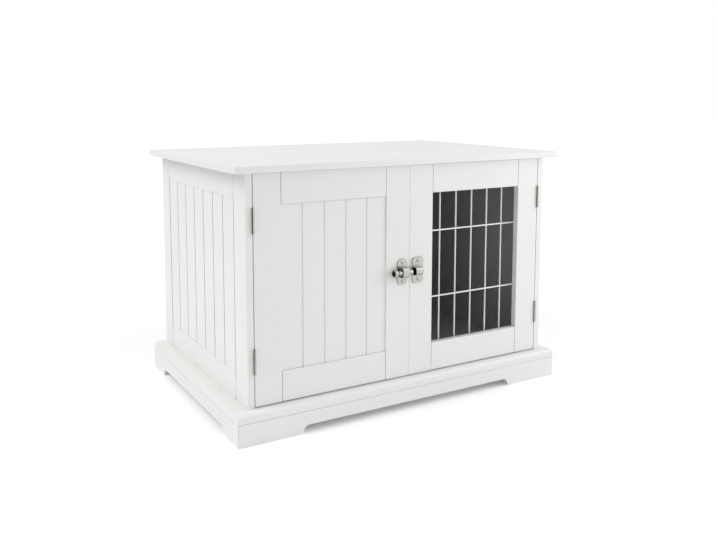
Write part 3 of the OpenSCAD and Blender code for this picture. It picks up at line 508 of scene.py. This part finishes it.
shank = add(rule, "GeometryNodeMeshCylinder", {"Vertices": SHANK_SIDES, "Radius": given["Shank radius"],
                                               "Depth": given["Length"]})
half = calc(rule, "MULTIPLY", given["Length"], -0.5)
shank_low = moved(rule, shank.outputs["Mesh"], vector(rule, Z=half))
span = calc(rule, "MULTIPLY", given["Head radius"], given["Recess span"])
span_across = calc(rule, "MULTIPLY", span, 2.0)
deep = calc(rule, "MULTIPLY", given["Recess depth"], 2.0)
bar_size = vector(rule, X=span_across, Y=given["Recess width"], Z=deep)
bar = add(rule, "GeometryNodeMeshCube", {"Size": bar_size})
bar_turned = add(rule, "GeometryNodeTransform", {"Geometry": bar.outputs["Mesh"],
                                                 "Rotation": (0, 0, math.pi / 2)})
whole = add(rule, "GeometryNodeMeshBoolean", {1: [cap.outputs[0], cone_low, shank_low]},
            operation="UNION", solver="MANIFOLD")
screw = add(rule, "GeometryNodeMeshBoolean", {0: whole.outputs[0],
                                              1: [bar.outputs["Mesh"], bar_turned.outputs[0]]},
            operation="DIFFERENCE", solver="MANIFOLD")
outward = add(rule, "GeometryNodeInputNamedAttribute", {"Name": "outward"}, data_type="FLOAT_VECTOR")
facing = add(rule, "FunctionNodeAlignRotationToVector", {"Vector": outward.outputs[0]}, axis="Z")
turn = add(rule, "FunctionNodeRandomValue", {2: 0.0, 3: math.pi, "Seed": given["Seed"]}, data_type="FLOAT")
spin = add(rule, "FunctionNodeAxisAngleToRotation", {"Axis": (0, 0, 1), "Angle": turn.outputs[1]})
set_down = add(rule, "FunctionNodeRotateRotation", {0: facing.outputs[0], 1: spin.outputs[0]},
               rotation_space="LOCAL")
placed = add(rule, "GeometryNodeInstanceOnPoints", {"Points": given["Geometry"],
                                                    "Instance": screw.outputs[0],
                                                    "Rotation": set_down.outputs[0]})
real = add(rule, "GeometryNodeRealizeInstances", {"Geometry": placed.outputs[0]})
plated = add(rule, "GeometryNodeSetMaterial", {"Geometry": real.outputs[0], "Material": given["Finish"]})
add(rule, "NodeGroupOutput", {"Geometry": plated.outputs[0]})
screw_rule = rule


def solid_parts(node):
    """The separate solids of a CAD node, each as the list of its vertex places."""
    bm = merged_copy(node)
    left = set(bm.verts)
    parts = []
    while left:
        part, waiting = [], [left.pop()]
        while waiting:
            vertex = waiting.pop()
            part.append(vertex.co.copy())
            near = {e.other_vert(vertex) for e in vertex.link_edges} & left
            left -= near
            waiting.extend(near)
        parts.append(part)
    bm.free()
    return sorted(parts, key=lambda part: [round(sum(p[i] for p in part) / len(part), 4) for i in range(3)])


def off_axis(point, middle, along):
    """How far a point lies from the line through the middle along an axis."""
    away = point - middle
    away[along] = 0
    return away.length


def screws(name, node, body, slot, finish, shape, seed=1):
    """Screws in place of a CAD node of screws: head first, each along its own axis."""
    heads, outs = [], []
    for part in solid_parts(node):
        low = Vector([min(p[i] for p in part) for i in range(3)])
        high = Vector([max(p[i] for p in part) for i in range(3)])
        along = max(range(3), key=lambda i: high[i] - low[i])
        middle = (low + high) / 2
        widest = max(part, key=lambda p: off_axis(p, middle, along))
        end = high[along] if widest[along] > middle[along] else low[along]
        head = middle.copy()
        head[along] = end
        heads.append(head)
        outs.append(Vector([math.copysign(1, end - middle[along]) if i == along else 0 for i in range(3)]))
    seeds = bpy.data.meshes.new(name + "_places")
    seeds.from_pydata(heads, [], [])
    direction = seeds.attributes.new("outward", "FLOAT_VECTOR", "POINT")
    direction.data.foreach_set("vector", [c for out in outs for c in out])
    length = high[along] - low[along]
    shank = min(off_axis(p, middle, along) for p in part if abs(p[along] - end) > SHANK_STARTS * length)
    sizes = {"Head radius": off_axis(widest, middle, along), "Shank radius": max(shank, LEAST_SHANK),
             "Length": length, "Recess span": RECESS_SPAN, "Seed": seed, "Finish": finish}
    mesh = grown(name, screw_rule, seeds, {**sizes, **shape})
    return fitted(name, mesh, [finish], body, slot, node)


screws("base_board_screws", "base_screws", "cabinet", "zinc_steel", zinc, FLAT)


# Sides
# Each side is a frame of two stiles and two rails, glued on stub tenons, round a panel of thin
# fibreboard, which is routed with beads, also along the stiles, to look like separate planks.
BEAD_WIDTH = 0.0035
BEAD_SQUARENESS = 0.4
BEAD_POINTS = 9
BEAD_DEPTH = 0.0024
GROOVE_WIDTH = 0.0018
GROOVE_DEPTH = 0.0008
SIDE_BEAD_PITCH = 0.063
SIDE_BEADS = 6
SIDE_FIRST_BEAD = -0.147
SIDE_PANEL_ENDS = (-0.213, 0.234)
SIDE_JOINT = 0.0024

rule, given = new_rule("beaded_board", [
    ("Width", "Float"), ("Height", "Float"), ("Thickness", "Float"), ("Beads", "Int"),
    ("Bead width", "Float"), ("Bead depth", "Float"), ("Squareness", "Float"), ("Points", "Int"),
    ("Groove width", "Float"), ("Groove depth", "Float"), ("Low groove", "Float"), ("High groove", "Float"),
    ("Finish", "Material")])
cut_points = calc(rule, "MULTIPLY", given["Beads"], given["Points"])
last = calc(rule, "ADD", cut_points, 1.0)
columns = calc(rule, "ADD", cut_points, 2.0)
sheet = add(rule, "GeometryNodeMeshGrid", {"Size X": last, "Size Y": 1.0,
                                           "Vertices X": columns, "Vertices Y": 2})
spot = add(rule, "ShaderNodeSeparateXYZ", {0: add(rule, "GeometryNodeInputPosition").outputs[0]})
middle = calc(rule, "MULTIPLY", last, 0.5)
column_raw = calc(rule, "ADD", spot.outputs["X"], middle)
column = calc(rule, "ROUND", column_raw)
inner = calc(rule, "SUBTRACT", column, 1.0)
ratio = calc(rule, "DIVIDE", inner, given["Points"])
which = calc(rule, "FLOOR", ratio)
skipped = calc(rule, "MULTIPLY", which, given["Points"])
step = calc(rule, "SUBTRACT", inner, skipped)
steps = calc(rule, "SUBTRACT", given["Points"], 1.0)
part_way = calc(rule, "DIVIDE", step, steps)
from_middle = calc(rule, "SUBTRACT", part_way, 0.5)
aside = calc(rule, "MULTIPLY", from_middle, given["Bead width"])
places = add(rule, "GeometryNodeInputPosition")
bead_place = add(rule, "GeometryNodeSampleIndex", {"Geometry": given["Geometry"], "Index": which,
                                                   "Value": places.outputs[0]},
                 data_type="FLOAT_VECTOR", domain="POINT", clamp=True)
bead_at = add(rule, "ShaderNodeSeparateXYZ", {0: bead_place.outputs[0]})
across = calc(rule, "ADD", bead_at.outputs["X"], aside)
half_turn = calc(rule, "MULTIPLY", part_way, math.pi)
hollow = calc(rule, "SINE", half_turn)
hollow_up = calc(rule, "MAXIMUM", hollow, 0.0)
box_like = calc(rule, "POWER", hollow_up, given["Squareness"])
sunk = calc(rule, "MULTIPLY", box_like, given["Bead depth"])
at_start = add(rule, "FunctionNodeCompare", {0: column, 1: 0.5}, operation="LESS_THAN")
near_end = calc(rule, "SUBTRACT", last, 0.5)
at_end = add(rule, "FunctionNodeCompare", {0: column, 1: near_end}, operation="GREATER_THAN")
rim = add(rule, "FunctionNodeBooleanMath", {0: at_start.outputs[0], 1: at_end.outputs[0]}, operation="OR")
across_start = add(rule, "GeometryNodeSwitch", {"Switch": at_start.outputs[0], "False": across,
                                                "True": 0.0}, input_type="FLOAT")
across_all = add(rule, "GeometryNodeSwitch", {"Switch": at_end.outputs[0],
                                              "False": across_start.outputs[0],
                                              "True": given["Width"]}, input_type="FLOAT")
sunk_all = add(rule, "GeometryNodeSwitch", {"Switch": rim.outputs[0], "False": sunk, "True": 0.0},
               input_type="FLOAT")
up_raw = calc(rule, "ADD", spot.outputs["Y"], 0.5)
up = calc(rule, "MULTIPLY", up_raw, given["Height"])
routed = vector(rule, X=across_all.outputs[0], Y=sunk_all.outputs[0], Z=up)
front = add(rule, "GeometryNodeSetPosition", {"Geometry": sheet.outputs["Mesh"], "Position": routed})
inwards = vector(rule, Y=1.0)
thick = add(rule, "GeometryNodeExtrudeMesh", {"Mesh": front.outputs[0], "Offset": inwards,
                                              "Offset Scale": given["Thickness"], "Individual": False})
behind = add(rule, "ShaderNodeSeparateXYZ", {0: add(rule, "GeometryNodeInputPosition").outputs[0]})
flat_back = vector(rule, X=behind.outputs["X"], Y=given["Thickness"], Z=behind.outputs["Z"])
level_back = add(rule, "GeometryNodeSetPosition", {"Geometry": thick.outputs["Mesh"],
                                                   "Selection": thick.outputs["Top"],
                                                   "Position": flat_back})
turned = add(rule, "GeometryNodeFlipFaces", {"Mesh": level_back.outputs[0]})
closed = add(rule, "GeometryNodeJoinGeometry", {"Geometry": [front.outputs[0], turned.outputs[0]]})
one = add(rule, "GeometryNodeMergeByDistance", {"Geometry": closed.outputs[0], "Distance": MERGE_GAP})
long = calc(rule, "MULTIPLY", given["Width"], 3.0)
deep = calc(rule, "MULTIPLY", given["Groove depth"], 2.0)
cutter_size = vector(rule, X=long, Y=deep, Z=given["Groove width"])
cutter = add(rule, "GeometryNodeMeshCube", {"Size": cutter_size})
low_cutter = moved(rule, cutter.outputs["Mesh"], vector(rule, Z=given["Low groove"]))
high_cutter = moved(rule, cutter.outputs["Mesh"], vector(rule, Z=given["High groove"]))
grooved = add(rule, "GeometryNodeMeshBoolean", {0: one.outputs[0], 1: [low_cutter, high_cutter]},
              operation="DIFFERENCE", solver="MANIFOLD")
real = add(rule, "GeometryNodeRealizeInstances", {"Geometry": grooved.outputs[0]})
coated = add(rule, "GeometryNodeSetMaterial", {"Geometry": real.outputs[0], "Material": given["Finish"]})
add(rule, "NodeGroupOutput", {"Geometry": coated.outputs[0]})
bead_rule = rule


def beaded_board(name, node, body, beads, rails, turn, origin, bead_coat):
    """A beaded board in place of a CAD one: drawn flat with its face to -Y, then turned about Z.
    The beads are the places of their middles along its width, and a groove runs along each rail."""
    low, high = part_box(node)
    size = Vector(high) - Vector(low)
    low_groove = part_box(rails + "bottom_rail")[1][2] - low[2] + GROOVE_WIDTH / 2
    high_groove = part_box(rails + "top_rail")[0][2] - low[2] - GROOVE_WIDTH / 2
    wide, thick = (size.y, size.x) if turn else (size.x, size.y)
    sizes = {"Width": wide, "Height": size.z, "Thickness": thick, "Beads": len(beads),
             "Bead width": BEAD_WIDTH, "Bead depth": BEAD_DEPTH, "Squareness": BEAD_SQUARENESS,
             "Points": BEAD_POINTS, "Groove width": GROOVE_WIDTH, "Groove depth": GROOVE_DEPTH,
             "Low groove": low_groove, "High groove": high_groove, "Finish": lacquer}
    seed = bpy.data.meshes.new(name + "_places")
    seed.from_pydata([(place, 0, 0) for place in sorted(beads)], [], [])
    mesh = grown(name, bead_rule, seed, sizes)
    in_bead = [JOINT_SHRINK < face.center.y < BEAD_DEPTH + JOINT_SHRINK
               and low_groove + GROOVE_WIDTH < face.center.z < high_groove - GROOVE_WIDTH
               for face in mesh.polygons]
    mesh.transform(Matrix.Translation(origin) @ Matrix.Rotation(turn, 4, "Z"))
    # Faces in the beads take bead_coat, which on the sides is the painted groove shade, and faces into the
    # cabin take the painted cabin shade.
    for face in mesh.polygons:
        in_cabin_shade = faces_cabin(face.center, face.normal)
        face.material_index = 2 if in_bead[face.index] else 1 if in_cabin_shade else 0
    return fitted(name, mesh, [lacquer, cabin_shade_lining, bead_coat], body, "white_paint", node)


for side in ("left", "right"):
    for stile in ("front_stile", "back_stile"):
        painted_board(side + "_" + stile, "cabinet")
    for rail in ("top_rail", "bottom_rail"):
        painted_board(side + "_" + rail, "cabinet", rail_axis=1, joint=SIDE_JOINT)
    low, high = (Vector(corner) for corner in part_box(side + "_bead_board"))
    beads = [SIDE_FIRST_BEAD + i * SIDE_BEAD_PITCH for i in range(SIDE_BEADS)]
    beads += [SIDE_PANEL_ENDS[0] + BEAD_WIDTH / 2, SIDE_PANEL_ENDS[1] - BEAD_WIDTH / 2]
    if side == "left":
        beads, turn, origin = [high.y - y for y in beads], -math.pi / 2, Vector((low.x, high.y, low.z))
    else:
        beads, turn, origin = [y - low.y for y in beads], math.pi / 2, Vector((high.x, low.y, low.z))
    beaded_board("beaded_" + side + "_panel", side + "_bead_board", "cabinet", beads, side + "_",
                 turn, origin, groove_shade_coat)


# Back and inner rails
# A plain fibreboard back is screwed to the back stiles and to two rails between the sides. A third
# rail runs behind the heads of the doors, which close against it and against a strip on the floor.
for node in ("back_panel", "back_top_rail", "back_bottom_rail", "front_top_rail", "door_stop_strip"):
    painted_board(node, "cabinet")
screws("back_screws", "back_panel_screws", "cabinet", "zinc_steel", zinc, DOMED, seed=2)


# Cam fittings
# The inner rails are pulled up to the sides by zinc cam locks that bite on steel dowels, as flat-pack
# furniture is. Each cam is a die-cast drum with a cross recess in its face.
CAM_EDGE = 0.0003
DOWEL_EDGE = 0.0002


def metal_copy(name, body, slot, finish, edge, *nodes):
    """Metal parts: the CAD parts with their arrises broken."""
    return fitted(name, eased_mesh(name, merged_copy(*nodes), edge), [finish], body, slot, *nodes)


metal_copy("cam_lock_drums", "cabinet", "zinc_steel", zinc, CAM_EDGE, "cam_locks")
metal_copy("cam_dowel_pins", "cabinet", "zinc_steel", zinc, DOWEL_EDGE, "cam_dowels")


# Top board
# One board of fibreboard overhanging the body all round, its arrises rounded over and lacquered
# with the rest. Steel angle brackets inside the cabin hold it down to the sides.
TOP_EDGE = 0.0018
BRACKET_EDGE = 0.0004
painted_board("top_board", "cabinet", TOP_EDGE)
metal_copy("top_angle_brackets", "cabinet", "zinc_steel", zinc, BRACKET_EDGE, "top_brackets")
screws("top_bracket_screws", "bracket_screws", "cabinet", "zinc_steel", zinc, DOMED, seed=3)


# Magnetic catches
# White moulded catch bodies under the front rail hold the doors shut by a pressed steel strike on
# the back of each door.
CATCH_EDGE = 0.0008
STRIKE_EDGE = 0.0003

# Moulded polypropylene: a slightly translucent, waxy white with a fine spark-eroded texture.
PLASTIC_WHITE = "#E4E4E0"
PLASTIC_SHADE = "#DCDCD7"
plastic = mottled("moulded_white_polypropylene", {"Specular IOR Level": 0.4, "IOR": 1.49},
                  PLASTIC_WHITE, PLASTIC_SHADE, rough=(0.42, 0.55), mottle={"Scale": 60.0, "Detail": 2.0},
                  grain={"Scale": 900.0, "Detail": 1.0}, depth=0.00002)

catch_mesh = eased_mesh("catch_bodies", merged_copy("magnetic_catches"), CATCH_EDGE)
fitted("catch_bodies", catch_mesh, [plastic], "cabinet", "white_plastic", "magnetic_catches")
for side in ("left", "right"):
    metal_copy(side + "_strike_plate", side + "_door", "zinc_steel", zinc, STRIKE_EDGE, side + "_strike")


# Doors
# Each door is a frame of stiles and rails, jointed and lacquered as the sides are. The left one
# holds a beaded panel, and the right one leaves its window open for the grille.
DOOR_BEAD_PITCH = 0.055
DOOR_BEADS = 4
DOOR_JOINT = 0.0009
for side in ("left", "right"):
    for stile in ("hinge_stile", "lock_stile"):
        painted_board(side + "_door_" + stile, side + "_door")
    for rail in ("top_rail", "bottom_rail"):
        painted_board(side + "_door_" + rail, side + "_door", rail_axis=0, joint=DOOR_JOINT)

low, high = (Vector(corner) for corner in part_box("left_door_panel"))
middle = (high.x - low.x) / 2
beads = [middle + (i - (DOOR_BEADS - 1) / 2) * DOOR_BEAD_PITCH for i in range(DOOR_BEADS)]
beaded_board("beaded_left_door_panel", "left_door_panel", "left_door", beads, "left_door_",
             0, low, lacquer)


# Grille
# Seven upright wires are welded behind four cross wires, and the grid is powder coated white. It
# lies against the back of the right door, held by bent steel clips with a screw each.
WIRE_RADIUS = 0.002
WIRE_SIDES = 16
WELD_RADIUS = 0.0024
GRILLE_UPRIGHTS = 7
GRILLE_CROSS_PLACES = (0.132, 0.2535, 0.4175, 0.5245)
CLIP_EDGE = 0.0002

# White powder coat on steel wire: thick and slightly glossy, with an orange peel of about 1 mm.
COAT_WHITE = "#F0F0F0"
COAT_SHADE = "#E6E6E6"
powder = mottled("white_powder_coat", {"IOR": 1.5, "Specular IOR Level": 0.5}, COAT_WHITE, COAT_SHADE,
                 rough=(0.3, 0.42), mottle={"Scale": 900.0, "Detail": 2.0}, depth=0.00004)

rule, given = new_rule("welded_wires", [
    ("Wire radius", "Float"), ("Sides", "Int"), ("Weld radius", "Float"), ("Finish", "Material")])
paths = add(rule, "GeometryNodeMeshToCurve", {"Mesh": given["Geometry"]})
ring = add(rule, "GeometryNodeCurvePrimitiveCircle", {"Resolution": given["Sides"],
                                                      "Radius": given["Wire radius"]})
wires = add(rule, "GeometryNodeCurveToMesh", {"Curve": paths.outputs[0], "Profile Curve": ring.outputs[0],
                                              "Fill Caps": True})
joined_edges = add(rule, "GeometryNodeInputMeshVertexNeighbors")
loose = add(rule, "FunctionNodeCompare", {2: joined_edges.outputs[0], 3: 0}, data_type="INT",
            operation="EQUAL")
drop = add(rule, "GeometryNodeMeshIcoSphere", {"Radius": given["Weld radius"], "Subdivisions": 2})
welds = add(rule, "GeometryNodeInstanceOnPoints", {"Points": given["Geometry"],
                                                   "Selection": loose.outputs[0],
                                                   "Instance": drop.outputs[0]})
grid = add(rule, "GeometryNodeJoinGeometry", {"Geometry": [wires.outputs[0], welds.outputs[0]]})
real = add(rule, "GeometryNodeRealizeInstances", {"Geometry": grid.outputs[0]})
soft = add(rule, "GeometryNodeSetShadeSmooth", {"Geometry": real.outputs[0]})
coated = add(rule, "GeometryNodeSetMaterial", {"Geometry": soft.outputs[0], "Material": given["Finish"]})
add(rule, "NodeGroupOutput", {"Geometry": coated.outputs[0]})
wire_rule = rule

up_low, up_high = (Vector(corner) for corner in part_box("grille_uprights"))
cross_low, cross_high = (Vector(corner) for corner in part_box("grille_cross_wires"))
up_y = (up_low.y + up_high.y) / 2
cross_y = (cross_low.y + cross_high.y) / 2
first_x = up_low.x + WIRE_RADIUS
pitch = (up_high.x - up_low.x - 2 * WIRE_RADIUS) / (GRILLE_UPRIGHTS - 1)
up_places = [first_x + i * pitch for i in range(GRILLE_UPRIGHTS)]
up_ends = [Vector((x, up_y, z)) for x in up_places for z in (up_low.z, up_high.z)]
cross_ends = [Vector((x, cross_y, z)) for z in GRILLE_CROSS_PLACES for x in (cross_low.x, cross_high.x)]
weld_places = [Vector((x, (up_y + cross_y) / 2, z)) for x in up_places for z in GRILLE_CROSS_PLACES]
for name, node, ends, spots in (("grille_upright_wires", "grille_uprights", up_ends, weld_places),
                                ("grille_cross_rods", "grille_cross_wires", cross_ends, [])):
    seed = bpy.data.meshes.new(name + "_paths")
    seed.from_pydata(ends + spots, [(i, i + 1) for i in range(0, len(ends), 2)], [])
    mesh = grown(name, wire_rule, seed, {"Wire radius": WIRE_RADIUS, "Sides": WIRE_SIDES,
                                         "Weld radius": WELD_RADIUS, "Finish": powder})
    fitted(name, mesh, [powder], "right_door", "white_wire", node)

metal_copy("grille_wire_clips", "right_door", "zinc_steel", zinc, CLIP_EDGE, "grille_clips")
screws("grille_clip_screws", "clip_screws", "right_door", "zinc_steel", zinc, DOMED, seed=4)


# Hinges
# Two pressed steel butt hinges a door, let in flush between door and frame, so that only the
# knuckles show at the outer edges of the doors. Each turns on a loose steel pin with flat heads.
LEAF_EDGE = 0.0003

# Nickel plate: a warm grey metal, brushed along its length, with strokes 0.5 mm apart so that they
# show, and dulled in patches by handling. The hinges have it a shade darker than the bolt.
SATIN_LIGHT = "#BDBAB5"
SATIN_DULL = "#A6A39E"
BRUSH_PITCH = 0.0005
BRUSH_STRETCH = (0.08, 1.0, 1.0)
PLATED = {"mottle": {"Scale": 70.0, "Detail": 3.0}, "grain": {"Scale": 1 / BRUSH_PITCH, "Detail": 2.0},
          "stretch": BRUSH_STRETCH, "depth": 0.000006}
nickel = mottled("satin_nickel_plate", {"Metallic": 1.0}, SATIN_LIGHT, SATIN_DULL,
                 rough=(0.2, 0.34), **PLATED)
metal_copy("frame_butt_leaves", "cabinet", "nickel_steel", nickel, LEAF_EDGE, "frame_hinge_leaves")
metal_copy("butt_hinge_pins", "cabinet", "nickel_steel", nickel, LEAF_EDGE, "hinge_pins")
screws("frame_butt_screws", "frame_leaf_screws", "cabinet", "nickel_steel", nickel, FLAT, seed=5)
for side in ("left", "right"):
    metal_copy(side + "_door_butt_leaves", side + "_door", "nickel_steel", nickel, LEAF_EDGE,
               side + "_door_leaves")
    screws(side + "_door_butt_screws", side + "_door_leaf_screws", side + "_door", "nickel_steel", nickel,
           FLAT, seed=6)


# Barrel bolt
# A nickel-plated bolt where the doors meet: a pressed plate with its hollow barrel on the left door,
# a keeper with its open hump on the right one, and a rod between them with a knob painted black at its left
# end as painted dark reflection.
PLATE_EDGE = 0.0005
DOOR_FACE = -0.278
PLATE_THICKNESS = 0.0018
LATCH_HEIGHT = 0.33025
HOLLOW_DEPTH_LINE = -0.2966
KEEPER_HOLLOW = (0.007, 0.0168, 0.0091)
DARK_END_REACH = math.cos(math.radians(45))
RIM_TILT = 0.5

# The bolt's nickel is a shade paler than the hinges'.
PALE_LIGHT = "#B5B3AF"
PALE_DULL = "#A7A5A0"
pale_nickel = mottled("pale_satin_nickel_plate", {"Metallic": 1.0}, PALE_LIGHT, PALE_DULL,
                      rough=(0.26, 0.36), **PLATED)

# The cut rims of the plates are painted darker nickel as painted shade and dark reflection, and the
# keeper's hollow is painted nearly black as painted shade. The knob's left end is painted black as painted
# dark reflection.
PAINTED_DARK_MOTTLE = {"mottle": {"Scale": 260.0, "Detail": 3.0}, "depth": 0.00001}
rim_painted_shade = mottled("nickel_rim_painted_shade", {"Metallic": 1.0}, "#85827D", "#6B6864", rough=(0.35, 0.5), **PAINTED_DARK_MOTTLE)
hollow_painted_shade = mottled("keeper_hollow_painted_shade", {"Specular IOR Level": 0.2}, "#1E1C1A", "#121110",
                      rough=(0.6, 0.8), **PAINTED_DARK_MOTTLE)
knob_end_painted_dark = mottled("knob_end_painted_dark_reflection", {"Specular IOR Level": 0.2}, "#0E0E0F", "#09090A",
                      rough=(0.45, 0.6), **PAINTED_DARK_MOTTLE)


def pressed_plate(name, node, body, hollow=(0.0, 0.0, 0.0)):
    """A plate with a channel: rims painted darker as painted shade, and a hollow of this span and half
    height painted near black as painted shade.
    """
    start, stop, half = hollow
    bm = merged_copy(node)
    if half:
        bmesh.ops.bisect_plane(bm, geom=bm.verts[:] + bm.edges[:] + bm.faces[:],
                               plane_co=(start, 0, 0), plane_no=(1, 0, 0))
    mesh = eased_mesh(name, bm, PLATE_EDGE)
    for face in mesh.polygons:
        x, y, z = face.center
        inside = start < x < stop and HOLLOW_DEPTH_LINE < y < DOOR_FACE - PLATE_THICKNESS + MERGE_GAP
        # The keeper's hollow is painted near black as painted shade.
        if inside and abs(z - LATCH_HEIGHT) < half:
            face.material_index = 2
        # Rims that face sideways are painted darker as painted shade and dark reflection.
        elif abs(face.normal.y) < RIM_TILT and y > DOOR_FACE - PLATE_THICKNESS:
            face.material_index = 1
    fitted(name, mesh, [pale_nickel, rim_painted_shade, hollow_painted_shade], body, "nickel_steel", node)


pressed_plate("bolt_barrel_plate", "bolt_plate", "left_door")
pressed_plate("bolt_keeper", "keeper", "right_door", KEEPER_HOLLOW)
metal_copy("bolt_rod", "bolt", "nickel_steel", pale_nickel, PLATE_EDGE, "latch_bolt")
knob_mesh = eased_mesh("bolt_knob", merged_copy("latch_knob"), PLATE_EDGE)
# The faces of the knob that look left are painted black as painted dark reflection.
for face in knob_mesh.polygons:
    face.material_index = 1 if -face.normal.x > DARK_END_REACH else 0
fitted("bolt_knob", knob_mesh, [pale_nickel, knob_end_painted_dark], "bolt", "nickel_steel", "latch_knob")
screws("bolt_barrel_plate_screws", "bolt_plate_screws", "left_door", "nickel_steel", pale_nickel,
       DOMED, seed=7)
screws("bolt_keeper_screws", "keeper_screws", "right_door", "nickel_steel", pale_nickel, DOMED, seed=8)
